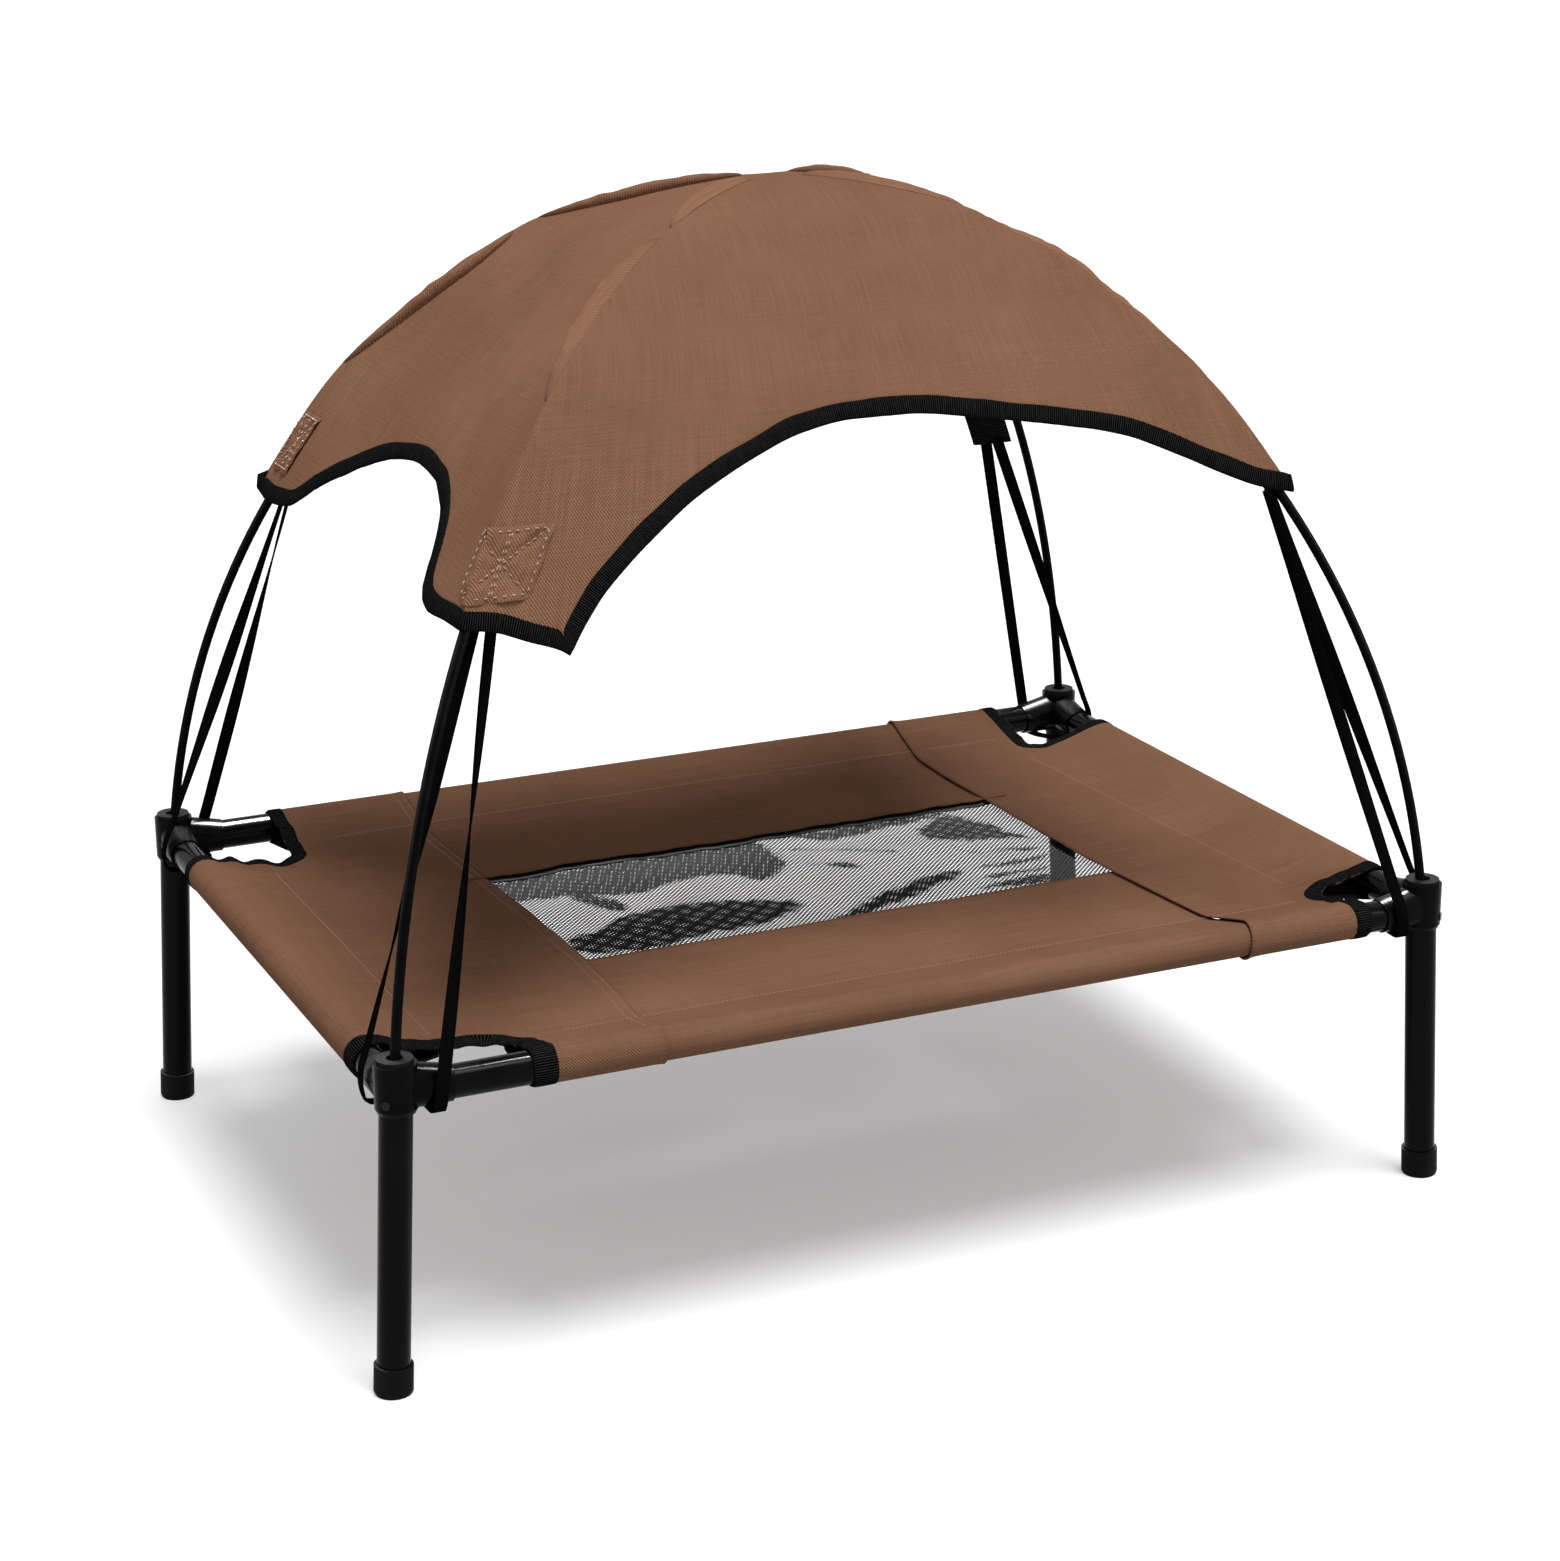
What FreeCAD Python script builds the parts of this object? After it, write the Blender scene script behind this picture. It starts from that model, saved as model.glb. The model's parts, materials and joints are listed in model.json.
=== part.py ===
import FreeCAD, Part

import math
import os

from FreeCAD import Matrix, Placement, Rotation, Vector

# Raised dog bed with a sun canopy. The origin is on the floor under the middle of the frame,
# +X runs along the long side, +Y to the back and +Z up. All sizes are millimetres and degrees.
SIZES = {
    # frame
    "leg_spacing_x": 740.0,        # between the leg axes along the bed
    "leg_spacing_y": 515.0,        # between the leg axes across the bed
    "rail_height": 200.0,          # axis of the rails above the floor
    "tube_outer": 21.3,            # legs and rails, outside diameter
    "tube_wall": 1.2,
    "leg_lean": 3.0,               # the feet stand slightly wider than the corners
    "leg_top": 18.1,               # end of the leg above the rail axis
    "rail_end": 13.0,              # leg axis to the end of a rail
    # corner connector
    "hub_diameter": 27.0,
    "hub_bottom": 187.0,
    "hub_top": 219.0,
    "hub_chamfer": 3.0,
    "arm_diameter": 23.8,
    "arm_length": 34.0,
    "arm_web": 12.5,               # leg axis to the floor of an arm's socket
    "fairing_diameter": 23.2,
    "fit_gap": 0.1,                # radial gap of a tube in its socket
    # plug with the grey ring that a canopy pole stands in
    "ring_diameter": 23.0,
    "ring_height": 3.0,
    "socket_bore": 10.4,
    "plug_diameter": 16.4,
    "plug_depth": 16.0,
    "plug_floor": 2.0,
    # snap button that locks a leg
    "button_diameter": 5.8,
    "button_hole": 6.6,
    "button_height": 195.7,
    "button_reach": 14.2,          # leg axis to the button's outer end
    "button_head": 8.4,
    "button_root": 5.6,            # leg axis to the inner face of the button's head
    "leaf_width": 7.0,
    "leaf_thickness": 0.7,
    # rubber foot
    "foot_diameter": 25.0,
    "foot_height": 19.0,
    "foot_floor": 4.0,
    "foot_chamfer": 2.5,
    # deck
    "cloth": 1.2,
    "sleeve_gap": 0.3,
    "deck_shift": 17.0,            # the cloth sits this far to the right on its rails
    "deck_level": 198.0,           # top of the deck's flat middle above the floor
    "slope_width": 55.0,           # rail axis to the flat middle
    "sleeve_length_x": 606.0,      # front and back sleeves
    "sleeve_length_y": 388.0,      # side sleeves
    "notch_radius": 24.0,
    "tape_width": 16.0,
    "middle_length": 406.0,        # the part of the deck between the two cross seams
    "window_width": 184.0,
    "mesh_thickness": 0.8,
    # canopy poles
    "pole_diameter": 6.5,
    "pole_lean": 7.0,              # inward lean where a pole leaves its ring
    "pole_low_radius": 585.0,
    "pole_low_sweep": 42.0,
    "pole_set_in": 1.2,            # the pole leaves its ring this far inside the leg axis
    "pole_foot_gap": 0.8,          # floor of the socket to the pole's end
    "crossing_gap": 0.3,
    "ferrule_outer": 8.2,
    "ferrule_inner": 7.2,
    "ferrule_length": 28.0,
    # canopy cloth
    "canopy_inner": 8.5,           # pole axis to the inside of the cloth at a ridge
    "canopy_outer": 10.0,
    "tab_bottom": 460.0,
    "front_arch_radius": 321.0,
    "front_arch_top": 563.0,
    "side_arch_radius": 167.5,
    "side_arch_top": 530.0,
    "hem_width": 10.0,
    "patch_width": 35.0,
    "patch_bottom": 474.0,
    "patch_top": 514.0,
    "patch_lift": 0.15,
    "patch_thickness": 0.8,
    "sleeve_inner": 9.8,
    "sleeve_outer": 11.0,
    "sleeve_half_angle": 68.0,
    "sleeve_from": 36.0,           # lean of the pole where its canopy sleeve starts
    "sleeve_to": 84.0,
    # straps
    "anchor_width": 16.0,
    "anchor_height": 30.0,
    "anchor_thickness": 1.8,
    "anchor_middle": 463.0,
    "strap_top": 445.0,
    "strap_width": 9.0,
    "strap_thickness": 1.2,
    "strap_along": 23.0,           # leg axis to the strap, along an arm
    "strap_clear": 2.0,            # arm's side to the middle of the strap
    "strap_under": 185.4,
    "strap_spread": 5.5,
}

CORNERS = {
    "front_left": (-1, -1, 0),
    "front_right": (1, -1, 90),
    "back_right": (1, 1, 180),
    "back_left": (-1, 1, 270),
}

UP = Vector(0, 0, 1)
ACROSS = Vector(0, 1, 0)
ALONG = Vector(1, 0, 0)

doc = FreeCAD.newDocument("dog_bed")
sheet = doc.addObject("Spreadsheet::Sheet", "Sizes")
for row, (alias, value) in enumerate(SIZES.items(), 1):
    sheet.set(f"A{row}", str(value))
    sheet.setAlias(f"A{row}", alias)
doc.recompute()


def size(alias):
    return float(sheet.get(alias))


HALF_X = size("leg_spacing_x") / 2
HALF_Y = size("leg_spacing_y") / 2
RAIL_Z = size("rail_height")
RING_TOP = size("hub_top") + size("ring_height")
HALF_DIAGONAL = math.hypot(HALF_X, HALF_Y)
BIG = 2000.0


# ---------------------------------------------------------------- helpers

def primitive(kind, name, place=Placement(), **sizes):
    """A Part primitive whose sizes are spreadsheet expressions."""
    item = doc.addObject(f"Part::{kind}", name)
    for prop, expression in sizes.items():
        item.setExpression(prop, expression)
    item.Placement = place
    return item


def cylinder(name, diameter, height, place=Placement()):
    return primitive("Cylinder", name, place, Radius=f"({diameter}) / 2", Height=height)


def cut(name, base, *tools, place=None):
    tool = tools[0] if len(tools) == 1 else fuse(name + "_tools", *tools)
    item = doc.addObject("Part::Cut", name)
    item.Base = base
    item.Tool = tool
    if place:
        item.Placement = place
    return item


def fuse(name, *shapes, place=None):
    item = doc.addObject("Part::MultiFuse", name)
    item.Shapes = list(shapes)
    item.Refine = True
    if place:
        item.Placement = place
    return item


def common(name, *shapes):
    item = doc.addObject("Part::MultiCommon", name)
    item.Shapes = list(shapes)
    return item


def feature(name, shape, place=Placement()):
    item = doc.addObject("Part::Feature", name)
    item.Shape = shape
    item.Placement = place
    return item


def at(x, y, z, turn=0.0, axis=UP):
    return Placement(Vector(x, y, z), Rotation(axis, turn))


def corner_place(corner):
    """Moves a shape made for the front left corner to its own corner."""
    side, end, turn = CORNERS[corner]
    return at(side * HALF_X, end * HALF_Y, 0, turn)


def outward(corner, reach, height):
    """Frame on a leg's axis that points straight out of the bed's corner at 45 degrees."""
    side, end, _ = CORNERS[corner]
    out = Vector(side, end, 0).normalize()
    start = Vector(side * HALF_X, end * HALF_Y, height) + out * reach
    return Placement(start, Rotation(UP, out))


# ---------------------------------------------------------------- frame

def make_rail(name, along_x, side):
    """One straight tube between two corner connectors."""
    spacing = "Sizes.leg_spacing_x" if along_x else "Sizes.leg_spacing_y"
    length = f"{spacing} - 2 * Sizes.rail_end"
    outer = cylinder(name + "_outer", "Sizes.tube_outer", length)
    inner = cylinder(name + "_inner", "Sizes.tube_outer - 2 * Sizes.tube_wall", length)
    end = size("rail_end")
    if along_x:
        place = Placement(Vector(end - HALF_X, side * HALF_Y, RAIL_Z), Rotation(UP, ALONG))
    else:
        place = Placement(Vector(side * HALF_X, end - HALF_Y, RAIL_Z), Rotation(UP, ACROSS))
    return cut(name, outer, inner, place=place)


def leg_place(corner):
    """Frame at the rail's height that leans outward with the leg."""
    side, end, _ = CORNERS[corner]
    return at(side * HALF_X, end * HALF_Y, RAIL_Z, -side * size("leg_lean"), ACROSS)


def make_button_bore(name, corner):
    return cylinder(name, "Sizes.button_hole", "Sizes.hub_diameter / 2",
                    outward(corner, size("button_root"), size("button_height")))


def make_leg(corner):
    """Leg tube with the hole that its snap button comes through."""
    name = f"leg_{corner}"
    length = "Sizes.rail_height - Sizes.foot_floor + Sizes.leg_top"
    low = at(0, 0, size("foot_floor") - RAIL_Z)
    outer = cylinder(name + "_outer", "Sizes.tube_outer", length, low)
    inner = cylinder(name + "_inner", "Sizes.tube_outer - 2 * Sizes.tube_wall", length, low)
    tube = cut(name + "_tube", outer, inner, place=leg_place(corner))
    return cut(name, tube, make_button_bore(name + "_hole", corner))


def make_connector(corner):
    """Three-way plastic corner: a hub for the leg and two arms for the rails."""
    name = f"corner_connector_{corner}"
    hub = cylinder(name + "_hub", "Sizes.hub_diameter",
                   "Sizes.hub_top - Sizes.hub_bottom - Sizes.hub_chamfer",
                   at(0, 0, size("hub_bottom") + size("hub_chamfer")))
    chamfer = primitive("Cone", name + "_chamfer", at(0, 0, size("hub_bottom")),
                        Radius1="Sizes.hub_diameter / 2 - Sizes.hub_chamfer / 2",
                        Radius2="Sizes.hub_diameter / 2", Height="Sizes.hub_chamfer")
    solids = [hub, chamfer]
    sockets = []
    fairing_drop = size("hub_top") - size("fairing_diameter") / 2 - RAIL_Z
    for arm, direction in (("x", ALONG), ("y", ACROSS)):
        middle = Placement(Vector(0, 0, RAIL_Z), Rotation(UP, direction))
        solids.append(cylinder(f"{name}_arm_{arm}", "Sizes.arm_diameter", "Sizes.arm_length", middle))
        slope = direction * size("arm_length") - UP * fairing_drop
        high = Placement(Vector(0, 0, RAIL_Z + fairing_drop), Rotation(UP, slope))
        solids.append(cylinder(f"{name}_fairing_{arm}", "Sizes.fairing_diameter",
                               "Sizes.arm_length", high))
        web = Placement(Vector(0, 0, RAIL_Z) + direction * size("arm_web"), Rotation(UP, direction))
        sockets.append(cylinder(f"{name}_socket_{arm}", "Sizes.tube_outer + 2 * Sizes.fit_gap",
                                "Sizes.arm_length", web))
    block = fuse(name + "_block", *solids)
    arms = cut(name + "_arms", block, *sockets, place=corner_place(corner))
    bore = cylinder(name + "_bore", "Sizes.tube_outer + 2 * Sizes.fit_gap", "Sizes.arm_length * 2",
                    leg_place(corner).multiply(at(0, 0, -size("arm_length"))))
    top = primitive("Box", name + "_top",
                    corner_place(corner).multiply(at(-HALF_Y, -HALF_Y, size("hub_top"))),
                    Length="Sizes.leg_spacing_y", Width="Sizes.leg_spacing_y", Height="Sizes.tube_outer")
    return cut(name, arms, bore, top, make_button_bore(name + "_hole", corner))


def make_pole_socket(corner):
    """Plug in the top of a leg, with a ring that the canopy pole leans on."""
    name = f"pole_socket_{corner}"
    side, end, _ = CORNERS[corner]
    place = at(side * HALF_X, end * HALF_Y, size("hub_top"))
    ring = cylinder(name + "_ring", "Sizes.ring_diameter", "Sizes.ring_height")
    stem = cylinder(name + "_stem", "Sizes.plug_diameter", "Sizes.plug_depth",
                    at(0, 0, -size("plug_depth")))
    bore = cylinder(name + "_bore", "Sizes.socket_bore", "Sizes.plug_depth + Sizes.ring_height",
                    at(0, 0, size("plug_floor") - size("plug_depth")))
    return cut(name, fuse(name + "_body", ring, stem), bore, place=place)


def make_snap_button(corner):
    """Round button with a wider head inside the leg."""
    name = f"snap_button_{corner}"
    head_depth = 1.2
    place = outward(corner, size("button_root"), size("button_height"))
    stud = cylinder(name + "_stud", "Sizes.button_diameter", "Sizes.button_reach - Sizes.button_root")
    head = cylinder(name + "_head", "Sizes.button_head", f"{head_depth}")
    return fuse(name, stud, head, place=place)


def make_snap_spring(corner):
    """V-shaped leaf spring inside the leg, drawn with its free arm pressed in."""
    name = f"snap_spring_{corner}"
    button = size("button_height")
    bend = Vector(-3.6, 0, button - 27)
    free_end = Vector(1.0, 0, button + 4)
    wall_end = Vector(-7.4, 0, button + 2)
    arms = []
    for label, end in (("free", free_end), ("wall", wall_end)):
        run = end - bend
        place = Placement(bend - Vector(0, size("leaf_width") / 2, 0), Rotation(UP, run))
        arms.append(primitive("Box", f"{name}_{label}", place, Length="Sizes.leaf_thickness",
                              Width="Sizes.leaf_width", Height=f"{run.Length}"))
    side, end, _ = CORNERS[corner]
    turn = math.degrees(math.atan2(end, side))
    return fuse(name, *arms, place=at(side * HALF_X, end * HALF_Y, 0, turn))


def make_foot(corner):
    """Rubber cap on a leg, worn flat where it stands on the floor."""
    name = f"foot_cap_{corner}"
    low = -RAIL_Z - 1
    cap = cylinder(name + "_cap", "Sizes.foot_diameter", "Sizes.foot_height + 1 - Sizes.foot_chamfer",
                   at(0, 0, low + size("foot_chamfer")))
    toe = primitive("Cone", name + "_toe", at(0, 0, low), Height="Sizes.foot_chamfer",
                    Radius1="Sizes.foot_diameter / 2 - Sizes.foot_chamfer / 2",
                    Radius2="Sizes.foot_diameter / 2")
    bore = cylinder(name + "_bore", "Sizes.tube_outer", "Sizes.foot_height",
                    at(0, 0, size("foot_floor") - RAIL_Z))
    solid = cut(name + "_solid", fuse(name + "_outer", cap, toe), bore, place=leg_place(corner))
    floor = primitive("Box", name + "_floor", at(-HALF_X * 2, -HALF_Y * 2, -size("foot_height")),
                      Length="Sizes.leg_spacing_x * 2", Width="Sizes.leg_spacing_y * 2",
                      Height="Sizes.foot_height")
    return cut(name, solid, floor)


# ---------------------------------------------------------------- deck

DECK_TOP = RAIL_Z + size("tube_outer") / 2 + size("sleeve_gap") + size("cloth")
SEAM_LEFT = size("deck_shift") - size("middle_length") / 2
SEAM_RIGHT = size("deck_shift") + size("middle_length") / 2


def rectangle(inset, height):
    """Outline of the deck at a height, drawn in from the rail axes on every side."""
    x, y = HALF_X - inset, HALF_Y - inset
    corners = [Vector(-x, -y, height), Vector(x, -y, height), Vector(x, y, height), Vector(-x, y, height)]
    return Part.makePolygon(corners + corners[:1])


def dish(drop):
    """Solid that fills the shallow dish of the deck, lowered by a drop."""
    rise = DECK_TOP - size("deck_level")
    over = size("slope_width") / 2
    rim = rectangle(-over, DECK_TOP + rise * over / size("slope_width") - drop)
    floor = rectangle(size("slope_width"), size("deck_level") - drop)
    return Part.makeLoft([floor, rim], True, True)


def deck_cloth():
    """The whole cloth: a shallow dish and a sleeve round each rail, before it is cut up."""
    outer = size("tube_outer") / 2 + size("sleeve_gap") + size("cloth")
    inner = outer - size("cloth")
    inside = Part.makeBox(2 * HALF_X, 2 * HALF_Y, BIG, Vector(-HALF_X, -HALF_Y, 0))
    cloth = dish(size("cloth")).cut(dish(0)).common(inside)
    holes = []
    for sign in (-1, 1):
        for start, direction, length in (
            (Vector(-HALF_X, sign * HALF_Y, RAIL_Z), ALONG, 2 * HALF_X),
            (Vector(sign * HALF_X, -HALF_Y, RAIL_Z), ACROSS, 2 * HALF_Y),
        ):
            cloth = cloth.fuse(Part.makeCylinder(outer, length, start, direction))
            holes.append(Part.makeCylinder(inner, length, start, direction))
    return cloth.cut(holes)


def notch(corner, grow):
    """Upright block with one rounded edge that opens a corner of the deck."""
    side, end, _ = CORNERS[corner]
    edge_x = side * size("sleeve_length_x") / 2 + size("deck_shift")
    depth_x = HALF_X - abs(edge_x) + grow
    depth_y = HALF_Y - size("sleeve_length_y") / 2 + grow
    radius = size("notch_radius") + grow
    reach = 40.0
    height = 60.0
    low = Vector(-reach, -reach, DECK_TOP - height)
    block = Part.makeBox(depth_x + reach, depth_y + reach, height + reach, low)
    upright = [e for e in block.Edges
               if abs(e.tangentAt(e.FirstParameter).z) > 0.9
               and e.CenterOfMass.x > 0 and e.CenterOfMass.y > 0]
    block = block.makeFillet(min(radius, depth_x - 1, depth_y - 1), upright)
    if side > 0:
        block = block.mirror(Vector(0, 0, 0), ALONG)
    if end > 0:
        block = block.mirror(Vector(0, 0, 0), ACROSS)
    block.translate(Vector(side * HALF_X, end * HALF_Y, 0))
    return block


def make_deck():
    """Three cloth panels, the mesh window and the taped corner notches."""
    cloth = deck_cloth()
    narrow = [notch(corner, 0) for corner in CORNERS]
    wide = [notch(corner, size("tape_width")) for corner in CORNERS]
    panels = cloth.cut(wide)
    seam = BIG / 2
    slabs = {
        "deck_panel_left": Part.makeBox(SEAM_LEFT + seam, BIG, BIG, Vector(-seam, -seam, -seam)),
        "deck_panel_middle": Part.makeBox(SEAM_RIGHT - SEAM_LEFT, BIG, BIG,
                                          Vector(SEAM_LEFT, -seam, -seam)),
        "deck_panel_right": Part.makeBox(seam - SEAM_RIGHT, BIG, BIG,
                                         Vector(SEAM_RIGHT, -seam, -seam)),
    }
    window = Part.makeBox(size("middle_length"), size("window_width"), BIG,
                          Vector(SEAM_LEFT, -size("window_width") / 2, 0))
    made = []
    for name, slab in slabs.items():
        shape = panels.common(slab)
        if name == "deck_panel_middle":
            shape = shape.cut(window)
        made.append(feature(name, shape))
    for corner, tool, rim in zip(CORNERS, narrow, wide):
        made.append(feature(f"deck_tape_{corner}", cloth.common(rim).cut(tool)))
    mesh = primitive("Box", "mesh_window", at(SEAM_LEFT, -size("window_width") / 2,
                                              size("deck_level") - size("cloth")),
                     Length="Sizes.middle_length", Width="Sizes.window_width",
                     Height="Sizes.mesh_thickness")
    made.append(mesh)
    return made


# ---------------------------------------------------------------- canopy poles

LOW_START = math.radians(size("pole_lean"))
LOW_END = LOW_START + math.radians(size("pole_low_sweep"))
LOW_R = size("pole_low_radius")
POLE_FOOT = HALF_DIAGONAL - size("pole_set_in")
LOW_CENTRE = Vector(POLE_FOOT - LOW_R * math.cos(LOW_START), 0,
                    RING_TOP - LOW_R * math.sin(LOW_START))
HIGH_R = (LOW_CENTRE.x + LOW_R * math.cos(LOW_END)) / math.cos(LOW_END)
HIGH_CENTRE = Vector(0, 0, LOW_CENTRE.z + (LOW_R - HIGH_R) * math.sin(LOW_END))
HALF_CROSSING = (size("pole_diameter") + size("crossing_gap")) / 2
DIAGONALS = {"a": ("front_left", "back_right", 1), "b": ("front_right", "back_left", -1)}

# each side of the canopy: its two corners, its turn from the right side, its half width
SIDES = {
    "right": (("front_right", "back_right"), 0, HALF_X),
    "back": (("back_right", "back_left"), 90, HALF_Y),
    "left": (("back_left", "front_left"), 180, HALF_X),
    "front": (("front_left", "front_right"), 270, HALF_Y),
}


def diagonal(corner):
    """Frame whose X points from the middle of the bed to a corner, with Z up."""
    side, end, _ = CORNERS[corner]
    return at(0, 0, 0, math.degrees(math.atan2(end * HALF_Y, side * HALF_X)))


def pole_rise(corner):
    """How far the pole at a corner runs above or below the poles' mean curve."""
    level = next(level for *ends, level in DIAGONALS.values() if corner in ends)
    return level * HALF_CROSSING


def pole_point(corner, height):
    """Distance from the middle and inward lean of the pole at a corner, at a height."""
    lean = math.asin((height - pole_rise(corner) - LOW_CENTRE.z) / LOW_R)
    return LOW_CENTRE.x + LOW_R * math.cos(lean), math.degrees(lean)


def arc_tube(name, radius, sweep, centre, start):
    """A bent piece of pole: part of a torus standing in a diagonal plane."""
    place = Placement(centre, Rotation(ALONG, 90)).multiply(at(0, 0, 0, start))
    return primitive("Torus", name, place, Radius1=radius, Radius2="Sizes.pole_diameter / 2",
                     Angle3=sweep)


def make_pole(letter):
    """Three sections of one pole and the two ferrules that join them."""
    first, second, _ = DIAGONALS[letter]
    rise = pole_rise(first)
    made = []
    foot = size("hub_top") - size("plug_depth") + size("plug_floor") + size("pole_foot_gap")
    for corner in (first, second):
        name = f"pole_{letter}_{corner}_section"
        straight = (RING_TOP + rise - foot) / math.cos(LOW_START)
        down = Vector(math.sin(LOW_START), 0, -math.cos(LOW_START))
        start = Vector(POLE_FOOT, 0, RING_TOP + rise)
        stem = cylinder(name + "_stem", "Sizes.pole_diameter", f"{straight}",
                        Placement(start, Rotation(UP, down)))
        bend = arc_tube(name + "_bend", "Sizes.pole_low_radius", "Sizes.pole_low_sweep",
                        LOW_CENTRE + UP * rise, size("pole_lean"))
        made.append(fuse(name, stem, bend, place=diagonal(corner)))
    crown = arc_tube(f"pole_{letter}_crown_section", f"{HIGH_R}",
                     "180 - 2 * (Sizes.pole_lean + Sizes.pole_low_sweep)",
                     HIGH_CENTRE + UP * rise, math.degrees(LOW_END))
    crown.Placement = diagonal(first).multiply(crown.Placement)
    made.append(crown)
    ferrules = []
    joint = Vector(LOW_CENTRE.x + LOW_R * math.cos(LOW_END), 0,
                   LOW_CENTRE.z + LOW_R * math.sin(LOW_END) + rise)
    tangent = Vector(-math.sin(LOW_END), 0, math.cos(LOW_END))
    for corner in (first, second):
        name = f"pole_{letter}_{corner}_ferrule"
        place = diagonal(corner).multiply(
            Placement(joint - tangent * size("ferrule_length") / 2, Rotation(UP, tangent)))
        outer = cylinder(name + "_outer", "Sizes.ferrule_outer", "Sizes.ferrule_length")
        inner = cylinder(name + "_inner", "Sizes.ferrule_inner", "Sizes.ferrule_length")
        ferrules.append(cut(name, outer, inner, place=place))
    pair = doc.addObject("Part::Compound", f"pole_{letter}_ferrules")
    pair.Links = ferrules
    made.append(pair)
    return made


# ---------------------------------------------------------------- canopy cloth

def ridge_profile(inner, outer):
    """Half of an upright band that follows the poles' curve, from the crown to a tab."""
    floor = size("tab_bottom") - 20
    crown = math.radians(90)

    def arc(offset, centre, radius, start, stop):
        points = [centre + Vector(math.cos(angle), 0, math.sin(angle)) * (radius + offset)
                  for angle in (start, (start + stop) / 2, stop)]
        return Part.Arc(*points).toShape()

    edges = []
    for offset in (inner, outer):
        foot = math.asin((floor - LOW_CENTRE.z) / (LOW_R + offset))
        edges.append([arc(offset, LOW_CENTRE, LOW_R, foot, LOW_END),
                      arc(offset, HIGH_CENTRE, HIGH_R, LOW_END, crown)])
    starts = [run[0].Vertexes[0].Point for run in edges]
    tops = [run[1].Vertexes[-1].Point for run in edges]
    outline = edges[0] + [Part.makeLine(*tops)] + edges[1] + [Part.makeLine(*starts)]
    return Part.Face(Part.Wire(Part.__sortEdges__(outline)))


def roof(side, inner, outer):
    """One of the four curved sides of the canopy, between two offsets from the poles."""
    turn, half_width = SIDES[side][1:]
    squeeze = Matrix()
    squeeze.scale(half_width / HALF_DIAGONAL, 1, 1)
    band = ridge_profile(inner, outer).transformGeometry(squeeze)
    band.translate(Vector(0, -HALF_X, 0))
    shape = band.extrude(ACROSS * 2 * HALF_X)
    shape.rotate(Vector(0, 0, 0), UP, turn)
    return shape.common(wedge(*SIDES[side][0]))


def arches(grow):
    """The openings under the canopy's four edges, and all below its corner tabs."""
    radius_y = size("front_arch_radius")
    radius_x = size("side_arch_radius")
    front = Part.makeCylinder(radius_y + grow, 2 * HALF_X,
                              Vector(0, -HALF_X, size("front_arch_top") - radius_y), ACROSS)
    side = Part.makeCylinder(radius_x + grow, 2 * HALF_X,
                             Vector(-HALF_X, 0, size("side_arch_top") - radius_x), ALONG)
    below = Part.makeBox(2 * HALF_X, 2 * HALF_X, size("tab_bottom") + grow,
                         Vector(-HALF_X, -HALF_X, 0))
    return [front, side, below]


def wedge(corner_one, corner_two):
    """Upright wedge between two diagonals, from the middle of the bed outward."""
    points = [Vector(0, 0, 0)]
    for corner in (corner_one, corner_two):
        side, end, _ = CORNERS[corner]
        points.append(Vector(side * HALF_X, end * HALF_Y, 0) * 2)
    face = Part.Face(Part.makePolygon(points + [points[0]]))
    return face.extrude(UP * BIG)


def diagonal_slab(corner, width, low, high):
    """Upright slab of a given width from the middle of the bed towards a corner."""
    slab = Part.makeBox(HALF_DIAGONAL, width, high - low, Vector(0, -width / 2, low))
    slab.Placement = diagonal(corner)
    return slab


def make_canopy():
    """Four cloth panels, the hem tape and the stitched patches on the tabs."""
    made = []
    tape = []
    for side in SIDES:
        skin = roof(side, size("canopy_inner"), size("canopy_outer"))
        made.append(feature(f"canopy_panel_{side}", skin.cut(arches(size("hem_width")))))
        for opening in arches(size("hem_width")):
            tape.append(skin.common(opening).cut(arches(0)))
    made.append(feature("canopy_hem_tape", tape[0].fuse(tape[1:]).removeSplitter()))
    low = size("canopy_outer") + size("patch_lift")
    covers = [roof(side, low, low + size("patch_thickness")) for side in SIDES]
    patches = []
    for corner in CORNERS:
        slab = diagonal_slab(corner, size("patch_width"), size("patch_bottom"), size("patch_top"))
        halves = [cover.common(slab) for cover in covers]
        halves = [half for half in halves if half.Solids]
        patches.append(halves[0].fuse(halves[1:]).removeSplitter())
    made.append(feature("canopy_corner_patches", Part.makeCompound(patches)))
    return made


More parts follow.
